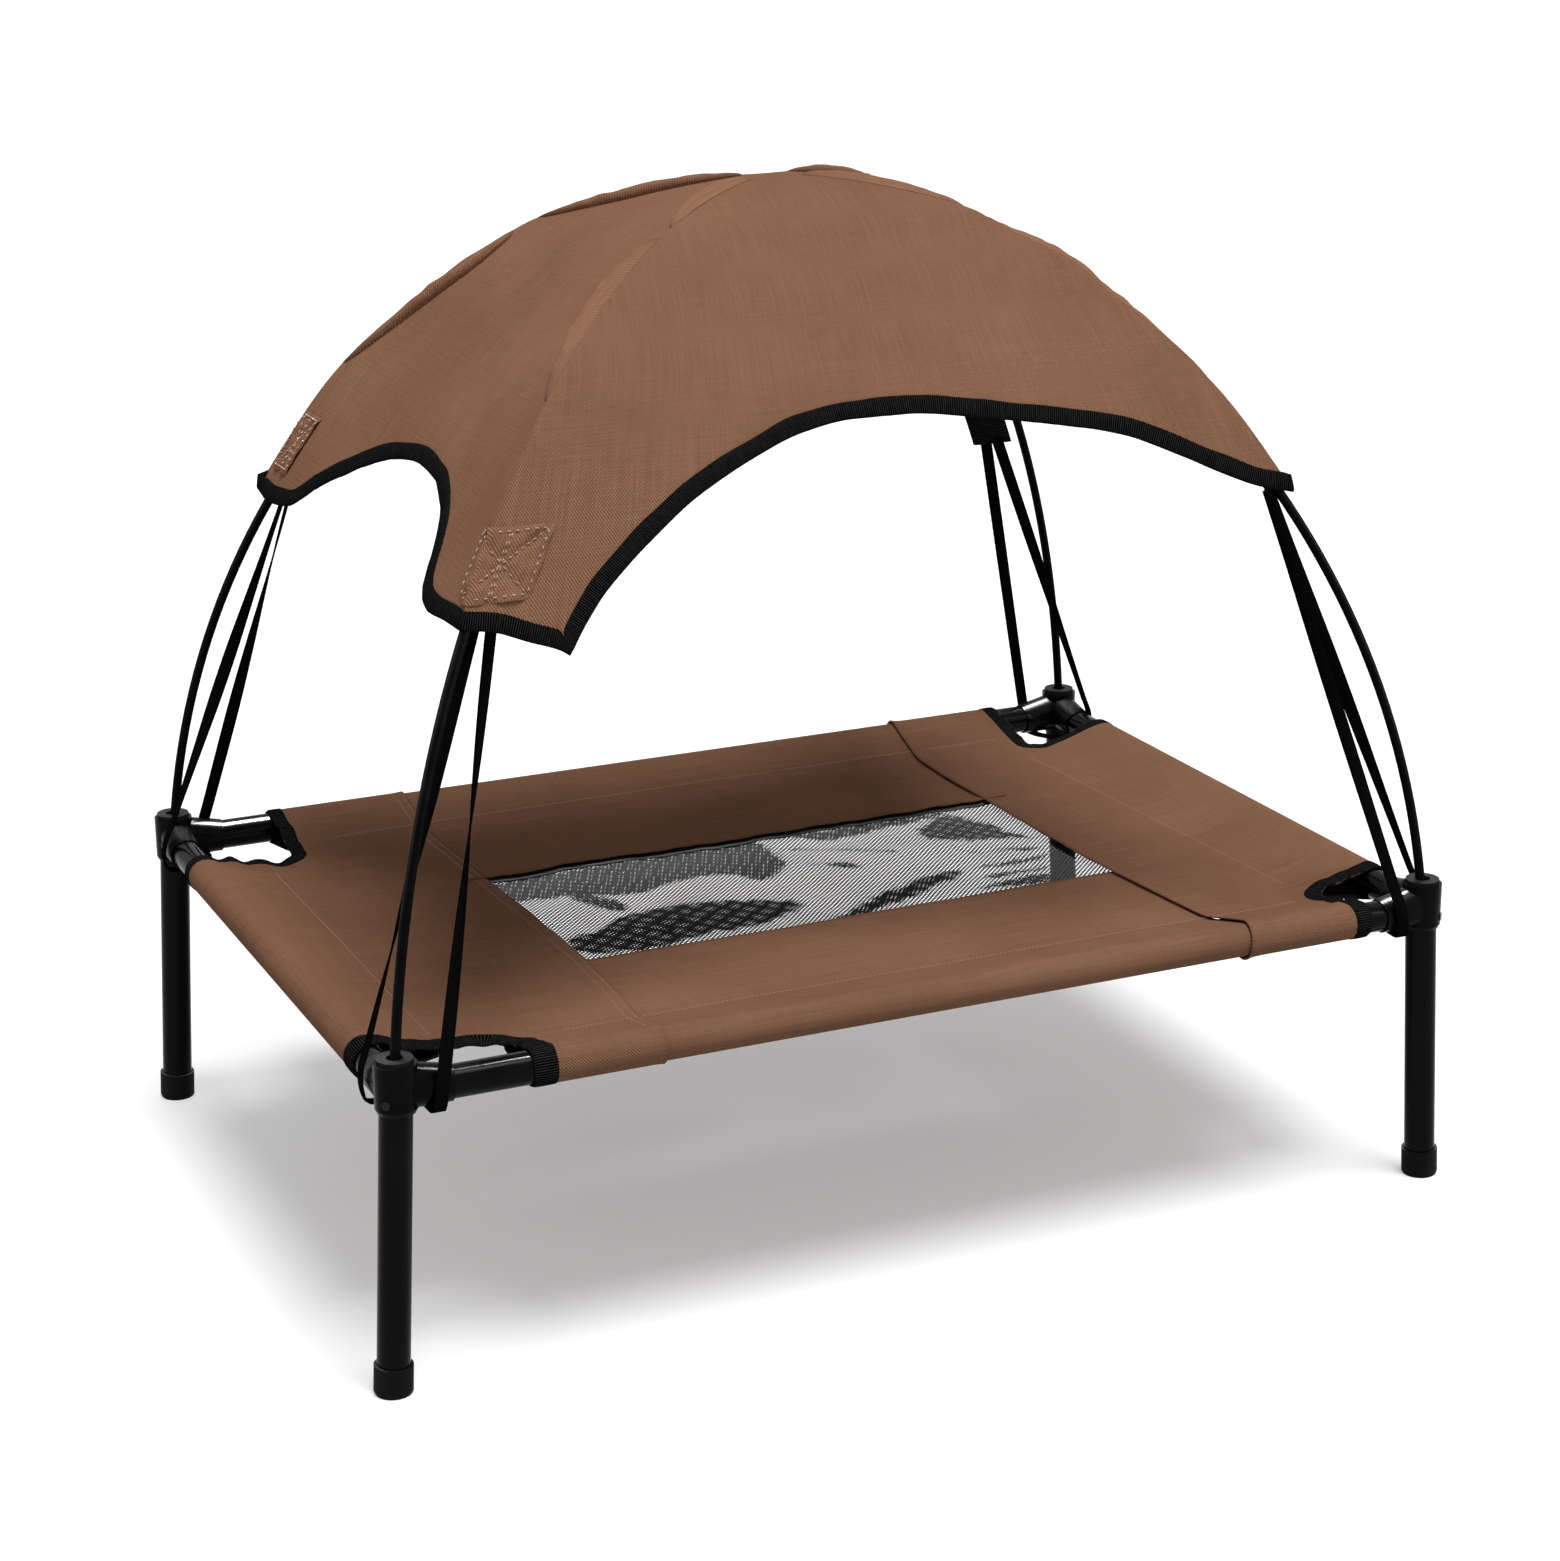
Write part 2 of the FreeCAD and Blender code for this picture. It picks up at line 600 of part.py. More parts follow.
def make_pole_sleeve(corner):
    """Cloth channel sewn under a ridge, open towards the canopy, that holds the pole."""
    half = math.radians(size("sleeve_half_angle"))
    runs = (
        (LOW_R, LOW_CENTRE, math.radians(size("sleeve_from")), LOW_END),
        (HIGH_R, HIGH_CENTRE, LOW_END, math.radians(size("sleeve_to"))),
    )
    made = []
    for radius, centre, start, stop in runs:
        centre = centre + UP * pole_rise(corner)
        middle = centre + ALONG * radius

        def rim(diameter, angle):
            return middle + Vector(-math.cos(angle), math.sin(angle), 0) * size(diameter) / 2

        edges = [
            Part.Arc(rim("sleeve_outer", -half), rim("sleeve_outer", 0),
                     rim("sleeve_outer", half)).toShape(),
            Part.makeLine(rim("sleeve_outer", half), rim("sleeve_inner", half)),
            Part.Arc(rim("sleeve_inner", half), rim("sleeve_inner", 0),
                     rim("sleeve_inner", -half)).toShape(),
            Part.makeLine(rim("sleeve_inner", -half), rim("sleeve_outer", -half)),
        ]
        face = Part.Face(Part.Wire(edges))
        face.rotate(centre, ACROSS, -math.degrees(start))
        made.append(face.revolve(centre, ACROSS * -1, math.degrees(stop - start)))
    return feature(f"pole_sleeve_{corner}", made[0].fuse(made[1]).removeSplitter(), diagonal(corner))


# ---------------------------------------------------------------- straps

def make_anchor(corner):
    """Webbing tab under a corner of the canopy, behind the pole."""
    reach, lean = pole_point(corner, size("anchor_middle"))
    gap = size("pole_diameter") / 2 + size("anchor_thickness") + 1.6
    place = diagonal(corner).multiply(
        Placement(Vector(reach, 0, size("anchor_middle")), Rotation(ACROSS, -lean)))
    place = place.multiply(at(-gap, -size("anchor_width") / 2, -size("anchor_height") / 2))
    return primitive("Box", f"anchor_{corner}", place, Length="Sizes.anchor_thickness",
                     Width="Sizes.anchor_width", Height="Sizes.anchor_height")


def make_anchors():
    """The four anchors, as one group of separate pieces."""
    group = doc.addObject("Part::Compound", "strap_anchors")
    group.Links = [make_anchor(corner) for corner in CORNERS]
    return group


def strap_run(start, end, width_direction):
    """Flat strand between two points."""
    run = end - start
    width = Vector(width_direction).normalize() * size("strap_width")
    thick = run.cross(width).normalize() * size("strap_thickness")
    corner = start - width / 2 - thick / 2
    points = [corner, corner + width, corner + width + thick, corner + thick, corner]
    return Part.Face(Part.makePolygon(points)).extrude(run)


def make_strap(corner):
    """Elastic loop from a canopy corner down round both arms of a connector."""
    side, end, _ = CORNERS[corner]
    along = size("strap_along")
    aside = size("arm_diameter") / 2 + size("strap_clear")
    under = size("strap_under")
    thick = size("strap_thickness")
    half = size("strap_width") / 2
    bend = RAIL_Z + 2
    top = size("strap_top")
    reach, _ = pole_point(corner, top)
    inward = Vector(HALF_X, HALF_Y, 0).normalize()
    pole_gap = 9.0
    head = inward * (HALF_DIAGONAL - reach + pole_gap) + UP * top
    spread = Vector(inward.y, -inward.x, 0) * size("strap_spread")
    outer = aside + thick / 2
    inner = aside - 1.0
    loop = [
        Vector(along - half, -outer, under), Vector(along + half, -outer, under),
        Vector(along + half, inner, under), Vector(inner, along + half, under),
        Vector(-outer, along + half, under), Vector(-outer, along - half, under),
        Vector(inner - half, along - half, under), Vector(along - half, inner - half, under),
    ]
    solid = Part.Face(Part.makePolygon(loop + [loop[0]])).extrude(UP * thick)
    for foot, direction, offset in (
        (Vector(along, -aside, 0), ALONG, spread),
        (Vector(-aside, along, 0), ACROSS, spread * -1),
    ):
        low = foot + UP * under
        turn = foot + UP * bend
        solid = solid.fuse([strap_run(low, turn, direction),
                            strap_run(turn, head + offset, direction)])
    solid = solid.removeSplitter()
    if side > 0:
        solid = solid.mirror(Vector(0, 0, 0), ALONG)
    if end > 0:
        solid = solid.mirror(Vector(0, 0, 0), ACROSS)
    return feature(f"elastic_strap_{corner}", solid, at(side * HALF_X, end * HALF_Y, 0))


# ---------------------------------------------------------------- assembly

parts = []
for corner in CORNERS:
    parts.append(make_connector(corner))
    parts.append(make_pole_socket(corner))
    parts.append(make_leg(corner))
    parts.append(make_foot(corner))
    parts.append(make_snap_button(corner))
    parts.append(make_snap_spring(corner))
    parts.append(make_pole_sleeve(corner))
    parts.append(make_strap(corner))
parts.append(make_rail("long_rail_front", True, -1))
parts.append(make_rail("long_rail_back", True, 1))
parts.append(make_rail("short_rail_left", False, -1))
parts.append(make_rail("short_rail_right", False, 1))
parts.extend(make_deck())
for letter in DIAGONALS:
    parts.extend(make_pole(letter))
parts.extend(make_canopy())
parts.append(make_anchors())
doc.recompute()

for item in doc.Objects:
    failed = {"Invalid", "Error"} & set(item.State)
    if failed:
        raise RuntimeError(f"{item.Name} is {', '.join(sorted(failed))}")

os.makedirs("parts", exist_ok=True)
for part in parts:
    shape = part.Shape
    if shape.isNull() or not shape.isValid() or not shape.Solids:
        raise RuntimeError(f"{part.Label} has no valid solid")
    shape.exportStep(os.path.join("parts", part.Label + ".step"))
    box = shape.BoundBox
    print(f"{part.Label:36s} solids {len(shape.Solids)} volume {shape.Volume:10.1f} "
          f"x {box.XMin:7.1f} {box.XMax:7.1f} y {box.YMin:7.1f} {box.YMax:7.1f} "
          f"z {box.ZMin:7.1f} {box.ZMax:7.1f}")
print(len(parts), "parts")
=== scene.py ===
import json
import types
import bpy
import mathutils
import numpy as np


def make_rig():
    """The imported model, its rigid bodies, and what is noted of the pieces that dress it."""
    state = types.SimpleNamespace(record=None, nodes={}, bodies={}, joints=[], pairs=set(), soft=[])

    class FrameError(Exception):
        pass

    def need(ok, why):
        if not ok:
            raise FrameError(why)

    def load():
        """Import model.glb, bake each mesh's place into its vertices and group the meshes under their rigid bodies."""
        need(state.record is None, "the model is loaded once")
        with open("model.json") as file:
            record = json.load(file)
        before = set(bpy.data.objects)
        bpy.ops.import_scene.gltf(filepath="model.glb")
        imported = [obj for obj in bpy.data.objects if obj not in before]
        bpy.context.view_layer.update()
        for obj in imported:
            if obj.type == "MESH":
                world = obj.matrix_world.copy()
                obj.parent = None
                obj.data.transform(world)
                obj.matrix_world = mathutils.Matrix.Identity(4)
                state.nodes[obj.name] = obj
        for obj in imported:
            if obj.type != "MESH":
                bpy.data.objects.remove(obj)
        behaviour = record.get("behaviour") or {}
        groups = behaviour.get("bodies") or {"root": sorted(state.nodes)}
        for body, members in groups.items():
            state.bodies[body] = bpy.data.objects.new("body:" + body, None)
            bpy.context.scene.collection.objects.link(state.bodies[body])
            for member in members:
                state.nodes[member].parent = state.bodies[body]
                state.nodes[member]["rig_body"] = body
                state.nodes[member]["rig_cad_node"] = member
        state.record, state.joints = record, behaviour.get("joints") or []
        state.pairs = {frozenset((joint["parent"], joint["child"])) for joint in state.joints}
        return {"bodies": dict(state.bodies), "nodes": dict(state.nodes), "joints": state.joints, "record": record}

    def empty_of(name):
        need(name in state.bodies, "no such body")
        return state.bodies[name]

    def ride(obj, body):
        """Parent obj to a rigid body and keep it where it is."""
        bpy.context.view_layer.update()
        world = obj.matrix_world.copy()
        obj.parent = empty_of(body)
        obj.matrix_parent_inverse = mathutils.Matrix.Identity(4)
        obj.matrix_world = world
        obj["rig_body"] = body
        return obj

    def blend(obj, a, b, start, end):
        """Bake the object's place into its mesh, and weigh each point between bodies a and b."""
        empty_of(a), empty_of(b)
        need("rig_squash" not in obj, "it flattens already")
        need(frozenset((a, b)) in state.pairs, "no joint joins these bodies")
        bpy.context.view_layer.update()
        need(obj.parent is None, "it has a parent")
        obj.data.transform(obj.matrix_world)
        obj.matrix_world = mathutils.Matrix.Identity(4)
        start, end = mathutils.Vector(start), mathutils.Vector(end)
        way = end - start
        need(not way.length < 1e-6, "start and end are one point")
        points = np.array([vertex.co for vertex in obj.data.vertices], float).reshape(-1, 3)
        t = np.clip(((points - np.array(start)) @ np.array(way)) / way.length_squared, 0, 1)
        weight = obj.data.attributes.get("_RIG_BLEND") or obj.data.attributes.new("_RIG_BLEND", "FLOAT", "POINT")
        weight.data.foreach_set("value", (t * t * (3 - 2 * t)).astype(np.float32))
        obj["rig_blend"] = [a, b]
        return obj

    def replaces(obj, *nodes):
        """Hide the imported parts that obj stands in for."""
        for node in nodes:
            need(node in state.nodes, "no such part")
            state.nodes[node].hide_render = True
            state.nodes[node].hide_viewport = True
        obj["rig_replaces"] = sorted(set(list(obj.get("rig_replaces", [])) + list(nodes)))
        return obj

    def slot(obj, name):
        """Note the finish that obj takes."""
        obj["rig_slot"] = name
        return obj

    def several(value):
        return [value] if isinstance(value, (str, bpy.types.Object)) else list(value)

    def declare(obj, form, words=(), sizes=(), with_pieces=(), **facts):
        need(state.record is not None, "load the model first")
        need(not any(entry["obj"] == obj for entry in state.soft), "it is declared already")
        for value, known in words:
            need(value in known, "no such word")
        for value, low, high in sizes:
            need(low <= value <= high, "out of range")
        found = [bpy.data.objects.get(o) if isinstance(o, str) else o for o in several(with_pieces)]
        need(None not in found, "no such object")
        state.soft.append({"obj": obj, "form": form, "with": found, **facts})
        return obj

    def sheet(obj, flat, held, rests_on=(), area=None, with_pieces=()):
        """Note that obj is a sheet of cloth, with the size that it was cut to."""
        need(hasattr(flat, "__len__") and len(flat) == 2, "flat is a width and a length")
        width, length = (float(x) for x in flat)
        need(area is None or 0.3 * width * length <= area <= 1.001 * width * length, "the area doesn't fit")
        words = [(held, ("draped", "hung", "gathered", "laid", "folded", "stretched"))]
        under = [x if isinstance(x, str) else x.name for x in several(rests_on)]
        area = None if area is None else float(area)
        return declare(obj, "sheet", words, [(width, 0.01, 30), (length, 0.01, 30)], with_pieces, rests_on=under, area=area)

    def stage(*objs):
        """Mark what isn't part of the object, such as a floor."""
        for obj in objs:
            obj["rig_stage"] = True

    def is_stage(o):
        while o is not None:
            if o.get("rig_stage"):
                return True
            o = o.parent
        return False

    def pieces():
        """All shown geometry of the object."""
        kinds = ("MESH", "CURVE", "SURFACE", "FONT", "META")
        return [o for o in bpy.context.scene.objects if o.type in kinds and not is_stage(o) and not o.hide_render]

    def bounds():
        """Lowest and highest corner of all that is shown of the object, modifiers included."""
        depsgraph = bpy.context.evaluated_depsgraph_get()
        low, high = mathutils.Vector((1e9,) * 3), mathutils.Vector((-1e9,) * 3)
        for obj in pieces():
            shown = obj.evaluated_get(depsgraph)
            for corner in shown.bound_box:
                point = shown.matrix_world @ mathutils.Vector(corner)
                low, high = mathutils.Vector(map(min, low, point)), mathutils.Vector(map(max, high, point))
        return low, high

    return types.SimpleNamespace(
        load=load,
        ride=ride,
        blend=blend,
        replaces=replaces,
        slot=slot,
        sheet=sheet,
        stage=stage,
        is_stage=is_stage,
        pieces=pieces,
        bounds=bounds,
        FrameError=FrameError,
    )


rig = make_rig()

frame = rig.load()

import bisect
import json
import math
from collections import Counter

import bmesh
import bpy
from mathutils import Matrix, Vector, noise

CAD_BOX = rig.bounds()
NODES = frame["nodes"]
CORNERS = {
    "front_left": (-1, -1),
    "front_right": (1, -1),
    "back_right": (1, 1),
    "back_left": (-1, 1),
}

# Driving sizes, as in the part: metres, with the origin on the floor under the middle.
HALF_X = 0.370
HALF_Y = 0.2575
HALF_DIAGONAL = math.hypot(HALF_X, HALF_Y)
RING_TOP = 0.222
POLE_LEAN = math.radians(7)
POLE_BEND = math.radians(49)      # lean where the lower bend meets the crown
LOW_RADIUS = 0.585
POLE_FOOT = HALF_DIAGONAL - 0.0012
LOW_CENTRE = (POLE_FOOT - LOW_RADIUS * math.cos(POLE_LEAN),
              RING_TOP - LOW_RADIUS * math.sin(POLE_LEAN))
HIGH_RADIUS = (LOW_CENTRE[0] + LOW_RADIUS * math.cos(POLE_BEND)) / math.cos(POLE_BEND)
HIGH_CENTRE = (0.0, LOW_CENTRE[1] + (LOW_RADIUS - HIGH_RADIUS) * math.sin(POLE_BEND))
POLE_RISE = {"front_left": 0.0034, "back_right": 0.0034, "front_right": -0.0034, "back_left": -0.0034}


# ------------------------------------------------------------ small tools

def lerp(a, b, t):
    return a + (b - a) * t


def smooth(t):
    t = min(1.0, max(0.0, t))
    return t * t * (3 - 2 * t)


def curve_through(points):
    """A smooth function through (x, y) points that doesn't swing past them."""
    xs = [p[0] for p in points]
    ys = [p[1] for p in points]
    slopes = [(ys[i + 1] - ys[i]) / (xs[i + 1] - xs[i]) for i in range(len(xs) - 1)]
    tangents = [slopes[0]]
    for before, after in zip(slopes, slopes[1:]):
        same_way = before * after > 0
        tangents.append(2 * before * after / (before + after) if same_way else 0.0)
    tangents.append(slopes[-1])

    def value(x):
        if x <= xs[0]:
            return ys[0]
        if x >= xs[-1]:
            return ys[-1]
        i = bisect.bisect_right(xs, x) - 1
        width = xs[i + 1] - xs[i]
        t = (x - xs[i]) / width
        return (ys[i] * (1 + 2 * t) * (1 - t) ** 2 + ys[i + 1] * t * t * (3 - 2 * t)
                + width * (tangents[i] * t * (1 - t) ** 2 - tangents[i + 1] * t * t * (1 - t)))

    return value


def wobble(point, size, seed=0.0):
    """Smooth noise between about -1 and 1, with features of the given size in metres."""
    return noise.noise(Vector(point) / size + Vector((seed, seed * 1.7, -seed)))


def make_object(name, points, faces, uvs=None, material=None):
    """A smooth-shaded mesh object. uvs holds one pair in metres for each point."""
    mesh = bpy.data.meshes.new(name)
    mesh.from_pydata([tuple(p) for p in points], [], faces)
    if uvs:
        layer = mesh.uv_layers.new(name="UVMap")
        for loop in mesh.loops:
            layer.data[loop.index].uv = uvs[loop.vertex_index]
    mesh.polygons.foreach_set("use_smooth", [True] * len(mesh.polygons))
    mesh.update()
    thing = bpy.data.objects.new(name, mesh)
    bpy.context.collection.objects.link(thing)
    if material:
        mesh.materials.append(material)
    return thing


def grid_faces(rows, columns, closed_rows=False, closed_columns=False):
    """Quads of a grid whose points are stored row by row."""
    faces = []
    for i in range(rows if closed_rows else rows - 1):
        for j in range(columns if closed_columns else columns - 1):
            a = i * columns + j
            b = i * columns + (j + 1) % columns
            c = ((i + 1) % rows) * columns + (j + 1) % columns
            d = ((i + 1) % rows) * columns + j
            faces.append((a, b, c, d))
    return faces


def sheet_of(name, rows, columns, place_of, material):
    """Grid of faces. place_of gives a point and its uv from the shares of the way down and across."""
    spots = [place_of(i / rows, j / columns) for i in range(rows + 1) for j in range(columns + 1)]
    points, uvs = zip(*spots)
    return make_object(name, points, grid_faces(rows + 1, columns + 1), uvs, material)


def thicken(thing, thickness, offset=-1.0):
    """Thickens a sheet: behind its faces with an offset of -1, to both sides with an offset of 0."""
    modifier = thing.modifiers.new("thickness", "SOLIDIFY")
    modifier.thickness = thickness
    modifier.offset = offset
    modifier.use_even_offset = False
    bpy.context.view_layer.update()
    graph = bpy.context.evaluated_depsgraph_get()
    mesh = bpy.data.meshes.new_from_object(thing.evaluated_get(graph), depsgraph=graph)
    thing.modifiers.clear()
    thing.data = mesh


def weld(thing, distance):
    sheet = bmesh.new()
    sheet.from_mesh(thing.data)
    bmesh.ops.remove_doubles(sheet, verts=sheet.verts, dist=distance)
    bmesh.ops.recalc_face_normals(sheet, faces=sheet.faces)
    sheet.to_mesh(thing.data)
    sheet.free()


def face_outward(thing, direction):
    total = sum((p.normal * p.area for p in thing.data.polygons), Vector())
    if total.dot(direction) < 0:
        thing.data.flip_normals()


def place(thing, slot, body, nodes=()):
    """Finish of a piece: its material slot, its body and the solids that it stands for."""
    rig.slot(thing, slot)
    if body:
        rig.ride(thing, body)
    if nodes:
        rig.replaces(thing, *nodes)
    return thing


def tangents_along(points):
    """Unit tangents along a line of points."""
    last = len(points) - 1
    return [(points[min(last, i + 1)] - points[max(0, i - 1)]).normalized() for i in range(last + 1)]


def lengths_along(points):
    """Distance from the first point to each point, along the line through them."""
    lengths = [0.0]
    for a, b in zip(points, points[1:]):
        lengths.append(lengths[-1] + (b - a).length)
    return lengths


def resample(points, step):
    """Even steps along a Catmull-Rom line through the points."""
    fine = []
    cuts = 16
    padded = [points[0] * 2 - points[1]] + list(points) + [points[-1] * 2 - points[-2]]
    for i in range(1, len(padded) - 2):
        p0, p1, p2, p3 = padded[i - 1:i + 3]
        for k in range(cuts):
            t = k / cuts
            fine.append(0.5 * (2 * p1 + (p2 - p0) * t + (2 * p0 - 5 * p1 + 4 * p2 - p3) * t * t
                               + (3 * p1 - p0 - 3 * p2 + p3) * t ** 3))
    fine.append(points[-1].copy())
    lengths = lengths_along(fine)
    count = max(2, round(lengths[-1] / step))
    even = []
    j = 0
    for k in range(count + 1):
        target = lengths[-1] * k / count
        while j < len(fine) - 2 and lengths[j + 1] < target:
            j += 1
        span = lengths[j + 1] - lengths[j] or 1.0
        even.append(fine[j].lerp(fine[j + 1], min(1.0, (target - lengths[j]) / span)))
    return even


# Section of a flat strap, as shares of its width and its thickness.
BAND_SECTION = [(-0.5, 0.125), (-0.46, 0.5), (0.0, 0.62), (0.46, 0.5), (0.5, 0.125),
                (0.5, -0.125), (0.46, -0.5), (0.0, -0.62), (-0.46, -0.5), (-0.5, -0.125)]


def band(name, points, widths, normals, width, thickness, material):
    """Flat strap along points. widths are directions across it and normals face out."""
    verts, uvs = [], []
    for point, run, across, normal in zip(points, lengths_along(points), widths, normals):
        for a, b in BAND_SECTION:
            verts.append(point + across * (a * width) + normal * (b * thickness))
            uvs.append((run, a * width))
    ring = range(len(BAND_SECTION))
    last = len(verts) - len(ring)
    faces = [tuple(reversed(face)) for face in grid_faces(len(points), len(ring), closed_columns=True)]
    faces.append(tuple(ring))
    faces.append(tuple(last + k for k in reversed(ring)))
    return make_object(name, verts, faces, uvs, material)


# ------------------------------------------------------------ materials

# Metres between the crests of a wave texture of scale 1, by its direction.
WAVE_LENGTH = {"X": 1 / 3.18, "Y": 1 / 3.18, "DIAGONAL": 0.628}


class Shader:
    """Builds one node material around a Principled shader."""

    def __init__(self, name, color, roughness, **sockets):
        self.material = bpy.data.materials.new(name)
        self.material.use_nodes = True
        self.tree = self.material.node_tree
        self.shader = self.tree.nodes["Principled BSDF"]
        self.shader.inputs["Base Color"].default_value = (*color, 1.0)
        self.shader.inputs["Roughness"].default_value = roughness
        for socket, value in sockets.items():
            self.shader.inputs[socket.replace("_", " ")].default_value = value

    def node(self, kind, **settings):
        made = self.tree.nodes.new(kind)
        for key, value in settings.items():
            if key in made.inputs:
                made.inputs[key].default_value = value
            else:
                setattr(made, key, value)
        return made

    def link(self, source, target):
        self.tree.links.new(source, target)

    def coordinates(self, kind="Object", scale=(1, 1, 1)):
        source = self.node("ShaderNodeTexCoord")
        mapping = self.node("ShaderNodeMapping", Scale=scale)
        self.link(source.outputs[kind], mapping.inputs["Vector"])
        return mapping.outputs["Vector"]

    def noise(self, vector, scale, detail=2.0, roughness=0.5):
        texture = self.node("ShaderNodeTexNoise", Scale=scale, Detail=detail, Roughness=roughness)
        self.link(vector, texture.inputs["Vector"])
        return texture.outputs["Fac"]

    def wave(self, vector, pitch, direction="X", distortion=0.0):
        """Even ribs a pitch in metres apart."""
        texture = self.node("ShaderNodeTexWave", bands_direction=direction, Detail=0.0,
                            Distortion=distortion, Scale=WAVE_LENGTH[direction] / pitch)
        self.link(vector, texture.inputs["Vector"])
        return texture.outputs["Fac"]

    def math(self, operation, a, b):
        made = self.node("ShaderNodeMath", operation=operation)
        for index, value in enumerate((a, b)):
            if isinstance(value, (int, float)):
                made.inputs[index].default_value = value
            else:
                self.link(value, made.inputs[index])
        return made.outputs[0]

    def weigh(self, *parts):
        """Sum of values, each given with its weight."""
        total = 0.0
        for value, weight in parts:
            total = self.math("ADD", self.math("MULTIPLY", value, weight), total)
        return total

    def remap(self, value, low, high, to_low=0.0, to_high=1.0):
        limits = {"From Min": low, "From Max": high, "To Min": to_low, "To Max": to_high}
        made = self.node("ShaderNodeMapRange", **limits)
        self.link(value, made.inputs["Value"])
        return made.outputs["Result"]

    def colour_between(self, value, first, second):
        made = self.node("ShaderNodeMix", data_type="RGBA")
        factor, colour_a, colour_b = made.inputs[0], made.inputs[6], made.inputs[7]
        colour_a.default_value = (*first, 1.0)
        colour_b.default_value = (*second, 1.0)
        self.link(value, factor)
        self.link(made.outputs[2], self.shader.inputs["Base Color"])

    def bump(self, height, strength, distance, after=None):
        made = self.node("ShaderNodeBump", Strength=strength, Distance=distance)
        self.link(height, made.inputs["Height"])
        if after is not None:
            self.link(after, made.inputs["Normal"])
        self.link(made.outputs["Normal"], self.shader.inputs["Normal"])
        return made.outputs["Normal"]

    def roughness_from(self, value, low, high):
        self.link(self.remap(value, 0.3, 0.7, low, high), self.shader.inputs["Roughness"])


def brown_cloth(name, light, dark):
    """Coated polyester: a fine diagonal rib, slubby threads and broad soft clouds of tone."""
    shader = Shader(name, light, 0.9, Specular_IOR_Level=0.0)
    uv = shader.coordinates("UV")
    weave = shader.math("ADD", shader.wave(uv, 0.0009, "X"), shader.wave(uv, 0.0009, "Y"))
    twill = shader.wave(uv, 0.0021, "DIAGONAL", 0.6)
    slubs = shader.noise(shader.coordinates("UV", (900, 14, 1)), 1.0, 3.0, 0.6)
    cross_slubs = shader.noise(shader.coordinates("UV", (18, 800, 1)), 1.0, 2.0, 0.6)
    clouds = shader.noise(shader.coordinates("Object"), 9.0, 4.0, 0.55)
    tone = shader.weigh((slubs, 0.36), (clouds, 0.30), (cross_slubs, 0.16), (twill, 0.18))
    shader.colour_between(shader.remap(tone, 0.40, 0.61), dark, light)
    soft = shader.bump(clouds, 0.25, 0.004)
    ribs = shader.bump(shader.math("ADD", slubs, cross_slubs), 0.45, 0.0010, soft)
    diagonal = shader.bump(twill, 0.75, 0.0008, ribs)
    shader.bump(weave, 0.22, 0.0003, diagonal)
    return shader.material


def ribbed_tape(name, pitch):
    """Woven tape with a rib straight across it, its valleys painted in shade."""
    shaded_valley, crest = (0.0010, 0.0010, 0.0011), (0.048, 0.048, 0.050)
    shader = Shader(name, crest, 0.75, Specular_IOR_Level=0.0)
    ribs = shader.wave(shader.coordinates("UV"), pitch)
    lint = shader.noise(shader.coordinates("UV", (500, 120, 1)), 1.0)
    # Painted shade: the ribs' valleys are coloured darker than their crests, times random lint.
    shader.colour_between(shader.math("MULTIPLY", shader.remap(ribs, 0.35, 0.95), lint), shaded_valley, crest)
    shader.bump(shader.weigh((ribs, 1.0), (lint, 0.3)), 0.8, 0.0009)
    return shader.material


def elastic_weave(name):
    """Flat elastic: cords along it and finer threads across, with painted shade in the hollows of the weave."""
    hollow, crest = (0.0006, 0.0006, 0.0006), (0.0065, 0.0065, 0.0070)
    shader = Shader(name, crest, 0.8, Specular_IOR_Level=0.0)
    uv = shader.coordinates("UV")
    weave = shader.weigh((shader.wave(uv, 0.0011, "Y"), 0.7), (shader.wave(uv, 0.0008, "X"), 0.3))
    # Painted shade: the weave's hollows are coloured darker than its crests.
    shader.colour_between(weave, hollow, crest)
    shader.bump(weave, 0.6, 0.0004)
    return shader.material


def hard_black(name, color, roughness, grain, relief, gloss, metal=0.0):
    """Painted metal or moulded plastic: fine grain, faint dust and uneven gloss."""
    shader = Shader(name, color, roughness, Specular_IOR_Level=gloss, Metallic=metal)
    spot = shader.coordinates("Object")
    fine = shader.noise(spot, grain, 3.0)
    clouds = shader.noise(spot, 22.0, 4.0, 0.6)
    lighter = tuple(c * 1.8 + 0.002 for c in color)
    shader.colour_between(shader.remap(clouds, 0.42, 0.75, 0.0, 0.6), color, lighter)
    shader.roughness_from(clouds, roughness * 0.8, min(1.0, roughness * 1.35))
    shader.bump(fine, relief, 0.0004)
    return shader.material


def plain_steel(name):
    shader = Shader(name, (0.42, 0.42, 0.43), 0.35, Metallic=1.0)
    grain = shader.noise(shader.coordinates("Object", (1, 1, 12)), 300.0, 3.0)
    shader.colour_between(grain, (0.32, 0.32, 0.33), (0.5, 0.5, 0.5))
    shader.roughness_from(grain, 0.28, 0.5)
    shader.bump(grain, 0.15, 0.0003)
    return shader.material


def thread(name, dark, light):
    shader = Shader(name, light, 0.7, Specular_IOR_Level=0.02)
    shader.colour_between(shader.noise(shader.coordinates("Object"), 1800.0), dark, light)
    return shader.material


CLOTH = brown_cloth("canopy cloth", (0.325, 0.167, 0.100), (0.215, 0.108, 0.063))
